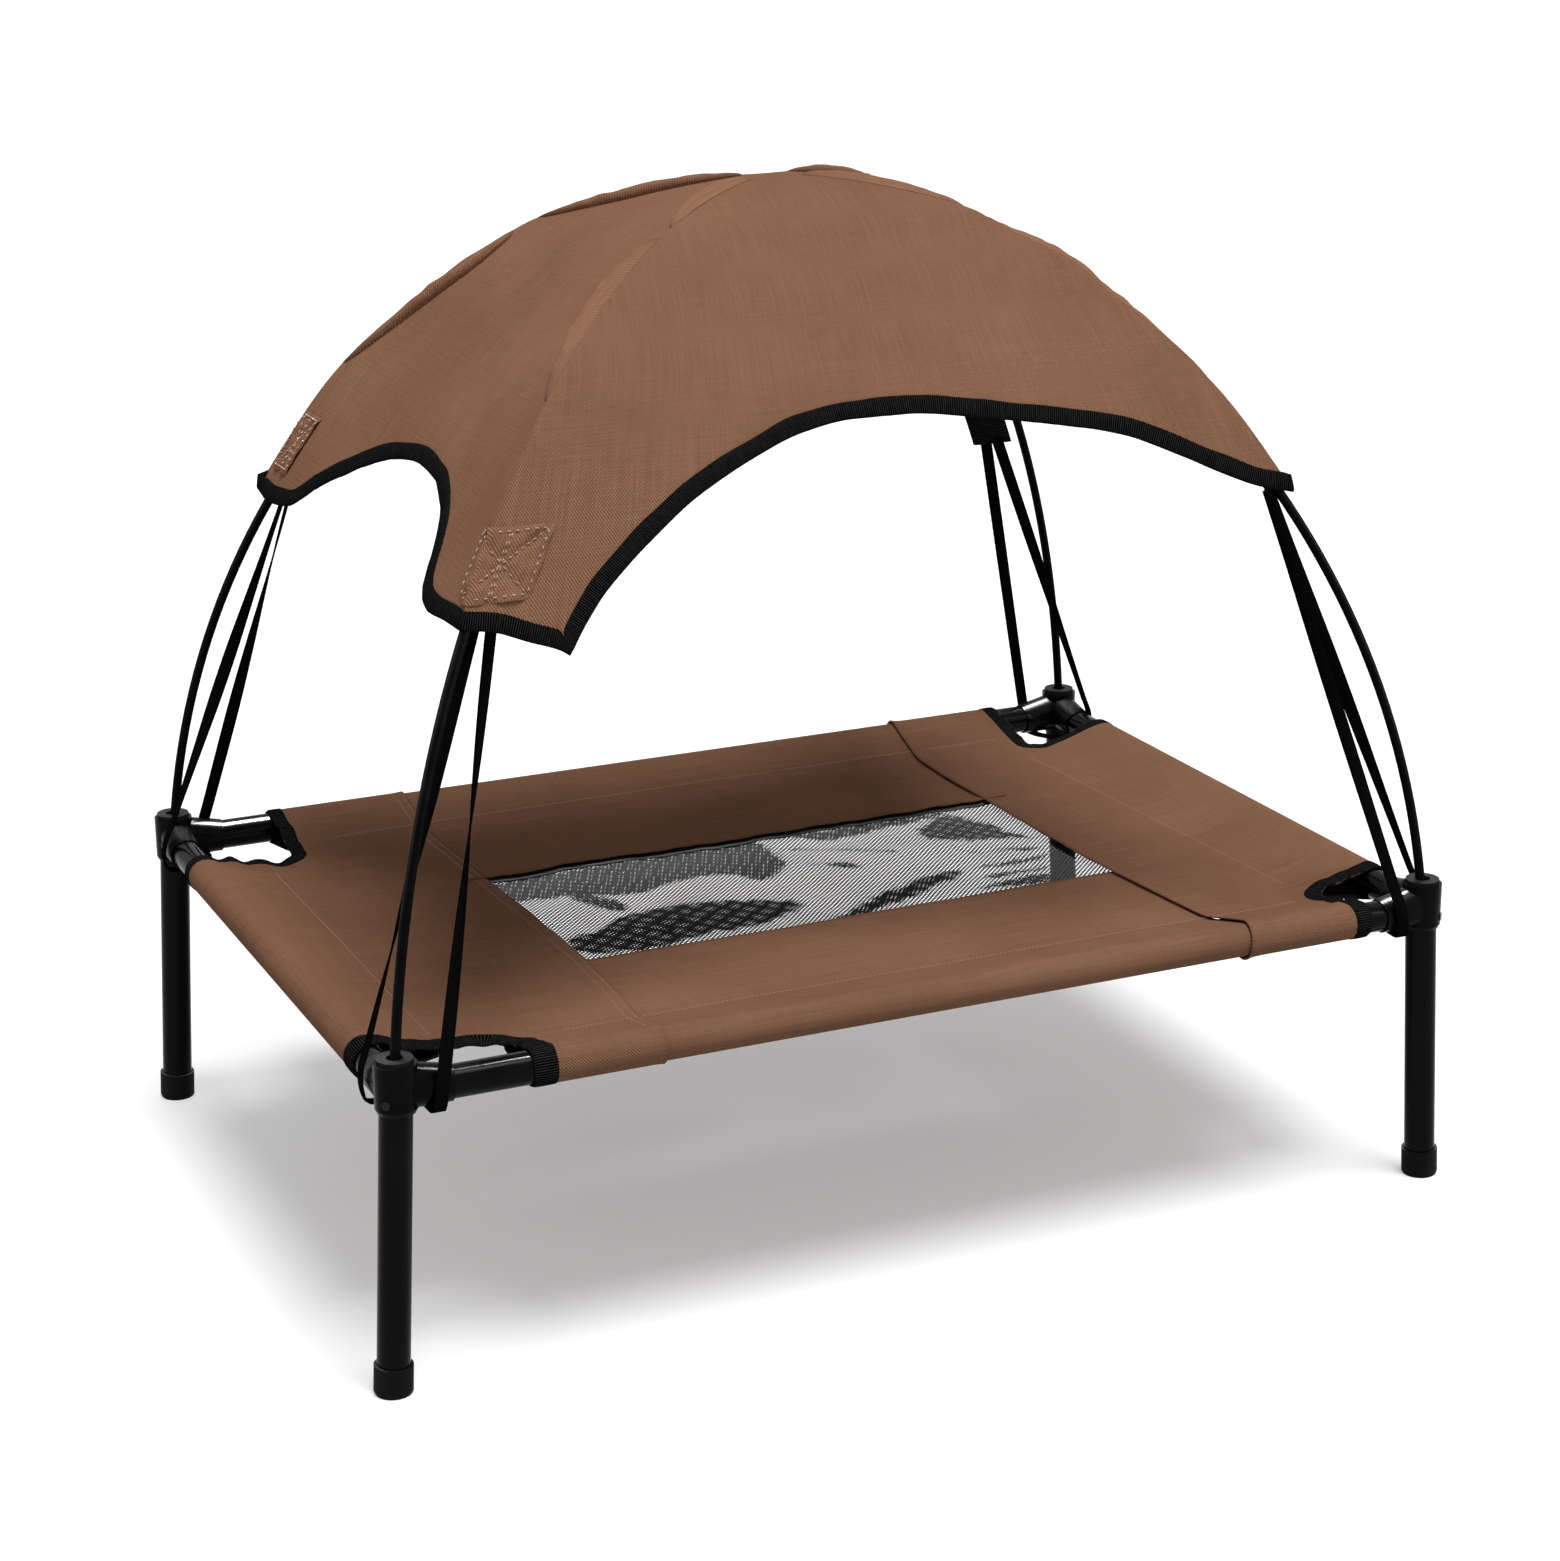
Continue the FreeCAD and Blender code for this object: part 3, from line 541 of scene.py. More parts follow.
# The deck cloth is a darker copy of the canopy cloth: painted shade for the canopy's shadow over the deck.
SHADED_DECK_CLOTH = brown_cloth("deck cloth", (0.265, 0.137, 0.083), (0.175, 0.089, 0.053))
TAPE = ribbed_tape("ribbed tape", 0.0015)
WEBBING = ribbed_tape("webbing", 0.0022)
ELASTIC = elastic_weave("elastic")
# Colour, roughness, grain, relief and gloss of each hard material.
POWDER = hard_black("powder coat", (0.0012, 0.0012, 0.0014), 0.13, 900.0, 0.03, 0.045)
PLASTIC = hard_black("moulded black", (0.0014, 0.0014, 0.0016), 0.20, 1600.0, 0.06, 0.03)
RING_GREY = hard_black("ring grey", (0.009, 0.009, 0.0095), 0.5, 1800.0, 0.15, 0.008)
RUBBER = hard_black("foot rubber", (0.004, 0.004, 0.004), 0.55, 1400.0, 0.18, 0.03)
ROD = hard_black("pole rod", (0.0025, 0.0025, 0.0025), 0.38, 1200.0, 0.08, 0.01)
FERRULE = hard_black("ferrule black", (0.003, 0.003, 0.003), 0.3, 900.0, 0.05, 0.03)
BUTTON = hard_black("black zinc", (0.008, 0.008, 0.009), 0.3, 900.0, 0.05, 0.15, metal=0.6)
STEEL = plain_steel("plain steel")
NET = thread("net thread", (0.003, 0.003, 0.0033), (0.011, 0.011, 0.012))
STITCH = thread("light thread", (0.28, 0.165, 0.115), (0.48, 0.32, 0.24))


# ------------------------------------------------------------ frame

# The start of a solid's name, its material and the rounding of its edges in metres.
HARD_FINISHES = {
    "corner_connector": (PLASTIC, 0.0012),
    "pole_socket": (RING_GREY, 0.0006),
    "leg": (POWDER, 0.0),
    "foot_cap": (RUBBER, 0.0012),
    "snap_button": (BUTTON, 0.0005),
    "snap_spring": (STEEL, 0.0),
    "long_rail": (POWDER, 0.0),
    "short_rail": (POWDER, 0.0),
    "pole_a": (ROD, 0.0),
    "pole_b": (ROD, 0.0),
}


def soften_edges(thing, rounding):
    bevel = thing.modifiers.new("soft edges", "BEVEL")
    bevel.width = rounding
    bevel.segments = 3
    bevel.limit_method = "ANGLE"
    bevel.angle_limit = math.radians(35)
    bevel.harden_normals = True


def finish_hard_parts():
    """Materials and softened edges for the solids that stay as they are."""
    for name, thing in NODES.items():
        for start, (material, rounding) in HARD_FINISHES.items():
            if not name.startswith(start):
                continue
            used = FERRULE if "ferrule" in name else material
            if not thing.material_slots:
                thing.data.materials.append(used)
            for slot in thing.material_slots:
                slot.material = used
            if rounding:
                soften_edges(thing, rounding)


# ------------------------------------------------------------ canopy surface

# How far the cloth stands off the poles' line at each corner: pairs of a pole lean in degrees
# and millimetres. The ridge has a slight kink where a sewn pole pocket ends.
RIDGE_OFFSET = {
    "front_left": [(30, 7.9), (38, 7.9), (43, 8.4), (48, 10.2), (56, 8.6), (64, 8.8), (70, 9.8),
                   (80, 8.8), (90, 8.6)],
    "back_left": [(30, 9.0), (36, 10.0), (42.4, 12.5), (49, 9.5), (56, 8.8), (62, 10.0), (65, 11.0),
                  (76, 7.5), (90, 8.6)],
    "front_right": [(30, 6.5), (36, 6.5), (43.6, 9.0), (49, 7.4), (54, 6.5), (59.4, 10.0), (66, 7.8),
                    (70, 11.5), (80, 8.8), (90, 8.6)],
    "back_right": [(30, 8.0), (36, 8.5), (43, 11.0), (50, 9.6), (56, 8.8), (64, 10.5), (76, 8.6),
                   (90, 8.6)],
}
RIDGE_AT = {corner: curve_through([(math.radians(a), mm / 1000) for a, mm in knots])
            for corner, knots in RIDGE_OFFSET.items()}
CLOTH_PER_LEAN = 0.45             # metres of cloth up a side for each radian of pole lean
# Soft creases of the canopy: the height, size and noise seed of each layer.
CREASES = ((0.0016, 0.11, 3.0), (0.0007, 0.035, 7.0))


def pole_line(lean, offset):
    """Distance from the middle and height of a point beside the poles' line."""
    centre, radius = (HIGH_CENTRE, HIGH_RADIUS) if lean >= POLE_BEND else (LOW_CENTRE, LOW_RADIUS)
    return (centre[0] + (radius + offset) * math.cos(lean),
            centre[1] + (radius + offset) * math.sin(lean))


def on_diagonal(corner, reach, height):
    side, end = CORNERS[corner]
    return Vector((side * HALF_X * reach / HALF_DIAGONAL, end * HALF_Y * reach / HALF_DIAGONAL, height))


def ridge(corner, lean):
    return on_diagonal(corner, *pole_line(lean, RIDGE_AT[corner](lean)))


class Side:
    """One side of the canopy between two ridges, and the line of its lower hem."""

    def __init__(self, name, first, second, hollow, columns, hem):
        self.name = name
        self.first = first
        self.second = second
        self.hollow = hollow
        self.column_count = columns
        self.hem_runs = hem
        self.hem_height = self.make_hem(hem)

    @staticmethod
    def make_hem(runs):
        """Height of the hem across the side. Each run is smooth, and runs meet at a corner."""
        curves = [(run[-1][0], curve_through([(w, z / 1000) for w, z in run])) for run in runs]

        def height(w):
            for stop, value in curves:
                if w <= stop:
                    return value(w)
            return curves[-1][1](w)

        return height

    def chord(self, lean):
        """Width of the side from ridge to ridge."""
        return (ridge(self.first, lean) - ridge(self.second, lean)).length

    def across(self, inwards, lean, at_first):
        """Place across the side that is a distance in from one of its ridges."""
        share = inwards / self.chord(lean)
        return share if at_first else 1 - share

    def point(self, w, lean, lift=0.0):
        """Point on the cloth, w from 0 at the first ridge to 1 at the second."""
        a = ridge(self.first, lean)
        b = ridge(self.second, lean)
        base = a.lerp(b, w)
        slack = 4 * w * (1 - w)
        depth = self.hollow * slack * smooth((math.pi / 2 - lean) / 0.5)
        crease = sum(height * wobble(base, size, seed) for height, size, seed in CREASES)
        ripple = smooth((lean - 0.5) / 0.3) * 0.3 + smooth((0.95 - lean) / 0.3) * 0.9
        amount = lift - depth + crease * ripple * min(1.0, slack * 3)
        if amount == 0.0:
            return base
        return base + self.outward(w, lean) * amount

    def outward(self, w, lean):
        """Unit normal of the plain side, without its creases."""
        step = 0.01
        a = ridge(self.first, lean).lerp(ridge(self.second, lean), w)
        up = ridge(self.first, lean + step).lerp(ridge(self.second, lean + step), w)
        along = ridge(self.second, lean) - ridge(self.first, lean)
        normal = along.cross(up - a).normalized()
        middle = Vector((0, 0, 0.3))
        return normal if normal.dot(a - middle) > 0 else -normal

    def hem_lean(self, w):
        """The pole lean at which this part of the side reaches its hem."""
        target = self.hem_height(w)
        low, high = math.radians(26), math.radians(89)
        for _ in range(26):
            middle = (low + high) / 2
            if self.point(w, middle).z < target:
                low = middle
            else:
                high = middle
        return (low + high) / 2

    def columns(self):
        """Places across the side at even steps along its hem, with one at each corner of the hem."""
        chord = self.chord(math.radians(45))
        corners = [0.0] + [run[-1][0] for run in self.hem_runs]
        cuts = 80
        runs = []
        for start, stop in zip(corners, corners[1:]):
            places = [lerp(start, stop, k / cuts) for k in range(cuts + 1)]
            lengths = [0.0]
            for a, b in zip(places, places[1:]):
                rise = self.hem_height(b) - self.hem_height(a)
                lengths.append(lengths[-1] + math.hypot((b - a) * chord, rise))
            runs.append((places, lengths))
        total = sum(lengths[-1] for _, lengths in runs)
        marks = [0.0]
        for places, lengths in runs:
            count = max(2, round(self.column_count * lengths[-1] / total))
            for k in range(1, count):
                target = lengths[-1] * k / count
                i = bisect.bisect_right(lengths, target) - 1
                t = (target - lengths[i]) / (lengths[i + 1] - lengths[i])
                marks.append(lerp(places[i], places[i + 1], t))
            marks.append(places[-1])
        return marks


# The canopy's sides, each with its two corners, how far it sags inwards, its columns of faces and
# its hem: places across the side from 0 to 1 with heights in millimetres, in runs between corners.
SIDES = [
    Side("front", "front_left", "front_right", 0.006, 120, [
        [(0.0, 469), (0.04, 465), (0.08, 457), (0.115, 450), (0.127, 446)],
        [(0.127, 446), (0.14, 465), (0.155, 480), (0.195, 504), (0.25, 528), (0.325, 547), (0.385, 557),
         (0.46, 562), (0.53, 562), (0.67, 553), (0.75, 546), (0.825, 537), (0.885, 521), (0.93, 506),
         (0.965, 496), (1.0, 491)],
    ]),
    Side("right", "front_right", "back_right", 0.004, 84, [
        [(0.0, 491), (0.05, 497), (0.12, 508), (0.22, 520), (0.36, 530), (0.5, 533), (0.64, 530),
         (0.78, 519), (0.88, 507), (0.95, 497), (1.0, 491)],
    ]),
    Side("back", "back_right", "back_left", 0.006, 110, [
        [(0.0, 491), (0.07, 486)],
        [(0.07, 486), (0.12, 502), (0.2, 521), (0.34, 548), (0.5, 563), (0.66, 548), (0.8, 523),
         (0.9, 499), (0.96, 480), (1.0, 468)],
    ]),
    Side("left", "back_left", "front_left", 0.004, 100, [
        [(0.0, 468), (0.065, 465), (0.14, 468), (0.18, 475), (0.215, 486), (0.30, 503), (0.39, 517),
         (0.46, 525), (0.565, 530), (0.675, 527), (0.735, 519), (0.775, 509), (0.795, 495),
         (0.801, 483), (0.808, 476)],
        [(0.808, 476), (0.825, 469), (0.86, 466), (0.94, 468), (1.0, 469)],
    ]),
]
SIDE = {side.name: side for side in SIDES}
ROWS = 76


def make_canopy_cloth():
    """The whole canopy as one sheet: four curved sides that share their ridges."""
    verts, faces, uvs = [], [], []
    for side in SIDES:
        marks = side.columns()
        ends = [side.hem_lean(w) for w in marks]
        start = len(verts)
        half = HALF_X if side.name in ("front", "back") else HALF_Y
        for k in range(ROWS + 1):
            for w, end in zip(marks, ends):
                lean = lerp(math.pi / 2, end, k / ROWS)
                # About the side's width here, so that the weave keeps its scale.
                spread = 1.64 * half * math.sin((math.pi / 2 - lean) * 1.45)
                verts.append(side.point(w, lean))
                uvs.append(((w - 0.5) * spread, lean * CLOTH_PER_LEAN))
        for a, b, c, d in grid_faces(ROWS + 1, len(marks)):
            faces.append((start + a, start + d, start + c, start + b))
    cloth = make_object("canopy_cloth", verts, faces, uvs, CLOTH)
    weld(cloth, 0.00005)
    thicken(cloth, 0.0009)
    return place(cloth, "canopy_cloth", "canopy", [f"canopy_panel_{side.name}" for side in SIDES])


def hem_line():
    """Points round the whole lower hem with the directions into the cloth and out of it."""
    line = []
    for side in SIDES:
        for w in side.columns()[:-1]:
            line.append((side, w, side.hem_lean(w)))
    points = [side.point(w, lean) for side, w, lean in line]
    count = len(points)
    inwards, normals = [], []
    for i, (side, w, lean) in enumerate(line):
        tangent = (points[(i + 1) % count] - points[i - 1]).normalized()
        normal = side.outward(w, lean)
        if w == 0.0:
            normal = (normal + line[i - 1][0].outward(1.0, lean)).normalized()
        inward = normal.cross(tangent).normalized()
        inwards.append(inward if inward.z > 0 else -inward)
        normals.append(normal)
    frames = []
    for i, point in enumerate(points):
        near = [(i + k) % count for k in range(-2, 3)]
        inward = sum((inwards[k] for k in near), Vector()).normalized()
        normal = sum((normals[k] for k in near), Vector()).normalized()
        frames.append((point, inward, normal))
    return frames


# Section of a folded tape: share of its width from the edge, and height over the cloth's middle.
TAPE_SECTION = [(1.0, 0.6), (0.97, 1.0), (0.5, 1.15), (0.08, 1.0), (-0.05, 0.3),
                (-0.05, -0.6), (0.08, -1.3), (0.5, -1.45), (0.97, -1.3), (1.0, -0.9)]


def tape_uvs(run, width):
    return [(run, a * width if b > 0 else -a * width) for a, b in TAPE_SECTION]


def tape_object(name, rows, uvs, closed):
    """Closed band of tape from the points of its section at each place along an edge."""
    faces = grid_faces(len(rows), len(TAPE_SECTION), closed_rows=closed, closed_columns=True)
    if not closed:
        last = (len(rows) - 1) * len(TAPE_SECTION)
        faces.append(tuple(reversed(range(len(TAPE_SECTION)))))
        faces.append(tuple(last + k for k in range(len(TAPE_SECTION))))
    tape = make_object(name, [point for row in rows for point in row], faces, uvs, TAPE)
    weld(tape, 1e-6)
    return tape


def make_hem_tape():
    """Ribbed tape folded over the canopy's lower edge."""
    width, thickness = 0.0116, 0.0010
    rows, uvs = [], []
    frames = hem_line()
    runs = lengths_along([point for point, _, _ in frames])
    for run, (point, inward, normal) in zip(runs, frames):
        shift = 0.0006 * (wobble((run, 0, 0), 0.011, 5.0) + 0.5 * wobble((run, 0, 0), 0.005, 9.0))
        wide = width * (1.0 + 0.12 * wobble((run, 0, 0), 0.03, 2.0))
        rows.append([point + inward * (a * wide) + normal * (b * thickness + shift * (1 - 0.6 * a))
                     for a, b in TAPE_SECTION])
        uvs += tape_uvs(run, width)
    tape = tape_object("canopy_hem", rows, uvs, True)
    return place(tape, "ribbed_tape", "canopy", ["canopy_hem_tape"])


# Pole pockets: corner, side of the ridge, leans where a pocket starts and stops, and its width.
POCKETS = (
    ("back_left", "left", 43.2, 63.0, 0.023),
    ("back_left", "left", 66.0, 87.0, 0.019),
    ("front_left", "left", 47.5, 69.5, 0.020),
    ("front_left", "left", 71.5, 86.5, 0.015),
    ("front_right", "right", 44.5, 68.5, 0.020),
    ("front_right", "right", 71.0, 87.0, 0.016),
    ("back_right", "right", 43.5, 63.5, 0.022),
    ("back_right", "right", 66.5, 87.0, 0.017),
)


def make_pocket(corner, side_name, start, stop, reach):
    """Outer layer of a pole pocket: a rolled strip along a ridge, sewn down at its far edge."""
    side = SIDE[side_name]
    at_first = side.first == corner
    crest = 0.78                  # where the roll is highest, as a share of its width
    seam, height = 0.0008, 0.0060

    def spot(t, share):
        lean = math.radians(lerp(start, stop, t))
        lens = math.sin(math.pi * t) ** 0.55
        w = side.across((seam + reach * lens) * share, lean, at_first)
        if share < crest:
            roll = math.sin(math.pi / 2 * share / crest)
        else:
            roll = math.sqrt(max(0.0, 1 - ((share - crest) / (1 - crest)) ** 2))
        crinkle = 0.0014 * lens * roll * wobble((lean * 0.5, share * 0.02, 0), 0.013, 4.0)
        point = side.point(w, lean, 0.0002 + height * lens * roll + crinkle)
        return point, (share * reach, lean * CLOTH_PER_LEAN)

    pocket = sheet_of(f"pole_pocket_{corner}_{int(start)}", 48, 14, spot, CLOTH)
    face_outward(pocket, side.outward(0.5, math.radians((start + stop) / 2)))
    thicken(pocket, 0.0008)
    return place(pocket, "canopy_cloth", "canopy")


# Rings of a stitch: place along its length, share of its radius, and rise in radii.
STITCH_RINGS = ((-0.5, 0.35, -0.6), (-0.3, 0.9, 0.0), (0.0, 1.0, 0.35), (0.3, 0.9, 0.0),
                (0.5, 0.35, -0.6))
# Length, gap and radius of the stitches on a tab and on the deck.
TAB_THREAD = (0.0030, 0.0016, 0.00058)
DECK_THREAD = (0.0020, 0.0010, 0.00022)


def stitches(name, runs, slot, body, length, gap, radius):
    """Short threads along straight runs, each given by its start, its end and the way up."""
    sides = 6
    tube = grid_faces(len(STITCH_RINGS), sides, closed_columns=True)
    tube.append(tuple(reversed(range(sides))))
    tube.append(tuple((len(STITCH_RINGS) - 1) * sides + s for s in range(sides)))
    verts, faces = [], []
    for start, end, normal in runs:
        run = end - start
        count = max(1, round(run.length / (length + gap)))
        direction = run.normalized()
        across = normal.cross(direction).normalized()
        for k in range(count):
            middle = start + run * ((k + 0.5) / count)
            base = len(verts)
            for t, swell, rise in STITCH_RINGS:
                centre = middle + direction * (t * length) + normal * (rise * radius)
                for s in range(sides):
                    angle = 2 * math.pi * s / sides
                    spoke = across * math.cos(angle) + normal * math.sin(angle)
                    verts.append(centre + spoke * radius * swell)
            faces += [tuple(base + n for n in face) for face in tube]
    return place(make_object(name, verts, faces, None, STITCH), slot, body)


def runs_between(spot, ends, cuts, lift):
    """Straight runs for stitches from one end to the other. spot gives a place and the way up there."""
    (a0, b0), (a1, b1) = ends
    knots = [spot(lerp(a0, a1, k / cuts), lerp(b0, b1, k / cuts), lift) for k in range(cuts + 1)]
    return [(start, end, normal) for (start, normal), (end, _) in zip(knots, knots[1:])]


def tab_point(corner, across, lean, lift):
    """Point on a corner tab, across metres from the ridge (positive on its first side)."""
    on_first = across >= 0
    side = next(side for side in SIDES if (side.first if on_first else side.second) == corner)
    w = side.across(abs(across), lean, on_first)
    return side.point(w, lean, lift), side.outward(w, lean)


# A patch's middle and half width in metres from the ridge, and the leans of its lower and upper edges.
PATCHES = {
    "front_left": (0.0140, 0.0270, 33.9, 38.9),
    "front_right": (0.0260, 0.0190, 37.5, 41.5),
    "back_right": (0.0240, 0.0190, 37.0, 41.0),
    "back_left": (0.0200, 0.0140, 34.2, 39.0),
}


def make_patch(corner):
    """Second layer of cloth on a corner tab, with its box, cross and middle row of stitches."""
    centre, half, low, high = PATCHES[corner]
    low, high = math.radians(low), math.radians(high)

    def spot(a, t, lift):
        lean = lerp(low, high, t)
        across = centre + a * half
        pinch = min(abs(a), abs(abs(a) - abs(2 * t - 1)))
        puff = 0.0014 * smooth(pinch / 0.3) + 0.0016 * wobble((across, lean * 0.5, 0), 0.009, 3.3)
        return tab_point(corner, across + 1e-6, lean, lift + max(0.0, puff))

    def cloth_spot(down, over):
        a = lerp(-1, 1, over)
        t = 1 - down
        on_edge = down in (0.0, 1.0) or over in (0.0, 1.0)
        return spot(a, t, 0.0001 if on_edge else 0.0006)[0], (a * half, t * 0.045)

    patch = sheet_of(f"corner_patch_{corner}", 30, 40, cloth_spot, CLOTH)
    side, end = CORNERS[corner]
    face_outward(patch, Vector((side, end, 0.6)))
    place(patch, "patch_cloth", "canopy", ["canopy_corner_patches"])
    box = [(-0.88, 0.07), (0.88, 0.07), (0.88, 0.93), (-0.88, 0.93)]
    lines = list(zip(box, box[1:] + box[:1]))
    lines += [(box[0], box[2]), (box[1], box[3])]
    lines += [((a, 0.07), (a, 0.93)) for a in (0.0, -0.07)]
    runs = [run for ends in lines for run in runs_between(spot, ends, 8, 0.0010)]
    sewing = stitches(f"corner_stitches_{corner}", runs, "patch_cloth", "canopy", *TAB_THREAD)
    return [patch, sewing]


def make_pole_channel(corner):
    """Cloth channel under a ridge that the pole slides through."""
    side, end = CORNERS[corner]
    outward = Vector((side * HALF_X, end * HALF_Y, 0)).normalized()
    sideways = Vector((-outward.y, outward.x, 0))

    def spot(t, share):
        lean = math.radians(lerp(37, 84, t))
        reach, height = pole_line(lean, 0.0)
        middle = on_diagonal(corner, reach, height + POLE_RISE[corner])
        lift = outward * math.cos(lean) + Vector((0, 0, math.sin(lean)))
        angle = math.radians(lerp(-80, 80, share))
        radius = 0.0051 + 0.0003 * wobble((lean * 0.5, angle * 0.003, 0), 0.01, 6.0)
        spoke = sideways * (math.sin(angle) * radius) - lift * (math.cos(angle) * radius)
        return middle + spoke, (angle * 0.005, lean * CLOTH_PER_LEAN)

    channel = sheet_of(f"pole_channel_{corner}", 60, 12, spot, CLOTH)
    thicken(channel, 0.0006, 0.0)
    return place(channel, "canopy_cloth", "canopy", [f"pole_sleeve_{corner}"])


def make_canopy():
    cloth = make_canopy_cloth()
    sewn_on = [make_hem_tape()]
    for corner, side_name, start, stop, reach in POCKETS:
        sewn_on.append(make_pocket(corner, side_name, start, stop, reach))
    for corner in CORNERS:
        sewn_on += make_patch(corner)
        sewn_on.append(make_pole_channel(corner))
        sewn_on.append(make_anchor(corner))
    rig.sheet(cloth, flat=(0.52, 0.74), held="stretched", area=0.33, with_pieces=sewn_on,
             rests_on=["pole_a_crown_section", "pole_b_crown_section"])


# ------------------------------------------------------------ deck

RAIL_TOP = 0.2116                 # middle of the cloth over a rail
CLOTH_THICK = 0.0011
WRAP_RADIUS = 0.01150             # middle of the cloth round a rail
WRAP_ANGLE = math.radians(190.2)
WRAP_LENGTH = WRAP_RADIUS * WRAP_ANGLE
TAIL_LENGTH = 0.047               # flat end of a sleeve, up to the deck's underside
RAMP_START = 0.0031               # from a rail's axis to where the cloth leaves the rail
RAMP_SLOPE = 0.27
FIELD_DROP = 0.0136               # of the flat field below the tops of the rails
FIELD_SAG = 0.0018                # more in the middle of the field
FIELD_TILT = 0.0012               # more at the back of the field and less at the front
FOLD_BLEND = 0.0008               # softness of the line where a ramp meets the field
PUCKER = 0.0046                   # height of the puckers by a notch's tape
PUCKER_FADE = 0.014               # distance over which they die away
PUCKER_REACH = 0.05               # distance past which there are none
GRID_STEP = 0.0042                # side of the deck cloth's faces
SEAM_LEFT = -0.188
SEAM_RIGHT = 0.216
SEAM_OVERLAP = 0.016              # how far the middle panel runs on under the other two
WINDOW_FRONT = -0.094
WINDOW_BACK = 0.090
LEFT_SEAM = curve_through([(-0.265, -0.197), (-0.089, -0.1835), (0.088, -0.1886), (0.265, -0.1935)])
RIGHT_SEAM = curve_through([(-0.275, 0.226), (-0.251, 0.2285), (-0.195, 0.226), (-0.096, 0.2177),
                            (0.088, 0.213), (0.188, 0.2125), (0.239, 0.216), (0.266, 0.2187)])
# Notch depths in from the two rails' axes, the radius of its inner corner and the tape's width.
NOTCH = {
    "front_left": (0.0860, 0.0500, 0.020, 0.0155),
    "front_right": (0.0480, 0.0570, 0.010, 0.0125),
    "back_right": (0.0600, 0.0640, 0.016, 0.0105),
    "back_left": (0.0720, 0.0750, 0.018, 0.0100),
}


def past_notch(corner, p, q):
    """How far a point of the cut cloth lies past the two straight edges of a notch."""
    side, end = CORNERS[corner]
    depth_x, depth_y, _, _ = NOTCH[corner]
    return HALF_X - side * p - depth_x, HALF_Y - end * q - depth_y


def notch_side(corner, p, q):
    """Signed distance from a notch's rounded edge: negative inside the notch."""
    radius = NOTCH[corner][2]
    u, v = past_notch(corner, p, q)
    if u > -radius and v > -radius:
        return math.hypot(u + radius, v + radius) - radius
    return max(u, v)


def notch_edge(corner, p, q):
    """The nearest point of the notch's edge to a point of the cut cloth."""
    side, end = CORNERS[corner]
    depth_x, depth_y, radius, _ = NOTCH[corner]
    u, v = past_notch(corner, p, q)
    if u > -radius and v > -radius:
        length = math.hypot(u + radius, v + radius) or 1.0
        u = -radius + (u + radius) * radius / length
        v = -radius + (v + radius) * radius / length
    elif u > v:
        u = 0.0
    else:
        v = 0.0
    return side * (HALF_X - depth_x - u), end * (HALF_Y - depth_y - v)


def sleeve_drop(inside):
    """Fall of the cloth below a rail's top, by the distance in from the rail's axis."""
    if inside <= 0:
        return 0.0
    if inside < RAMP_START:
        return inside ** 2 / (2 * WRAP_RADIUS)
    return RAMP_START ** 2 / (2 * WRAP_RADIUS) + RAMP_SLOPE * (inside - RAMP_START)


def pucker_drop(p, q):
    """Fall of the cloth in the puckers that fan out from the notches' tape."""
    total = 0.0
    for corner in CORNERS:
        distance = notch_side(corner, p, q)
        if distance < PUCKER_REACH:
            edge_p, edge_q = notch_edge(corner, p, q)
            fade = math.exp(-max(0.0, distance) / PUCKER_FADE)
            total += PUCKER * fade * wobble((edge_p, edge_q, 0), 0.0125, 3.0)
    return total


def deck_drop(p, q):
    """How far the cloth lies below the tops of the rails: ramps, a flat field and its creases."""
    inside_x, inside_y = HALF_X - abs(p), HALF_Y - abs(q)
    bowl = max(0.0, (1 - (p / 0.32) ** 2) * (1 - (q / 0.21) ** 2))
    field = FIELD_DROP + FIELD_SAG * bowl + FIELD_TILT * q / HALF_Y
    field += 0.0010 * wobble((p, q, 0), 0.08, 1.0)
    ramp = min(sleeve_drop(inside_x), sleeve_drop(inside_y))
    drop = -FOLD_BLEND * math.log(math.exp(-ramp / FOLD_BLEND) + math.exp(-field / FOLD_BLEND))
    off_rail = smooth(ramp / 0.002)
    drop = drop * off_rail + ramp * (1 - off_rail)
    away = smooth(min(inside_x, inside_y) / 0.012)
    return drop + pucker_drop(p, q) * away + 0.0005 * away * wobble((p * 0.4, q, 0), 0.03, 6.0)


def wrap(beyond):
    """Sideways reach and height of the cloth a distance past the top of a rail."""
    if beyond <= WRAP_LENGTH:
        angle = beyond / WRAP_RADIUS
        return WRAP_RADIUS * math.sin(angle), WRAP_RADIUS * math.cos(angle)
    past = beyond - WRAP_LENGTH
    return (WRAP_RADIUS * math.sin(WRAP_ANGLE) + past * math.cos(WRAP_ANGLE),
            WRAP_RADIUS * math.cos(WRAP_ANGLE) - past * math.sin(WRAP_ANGLE))


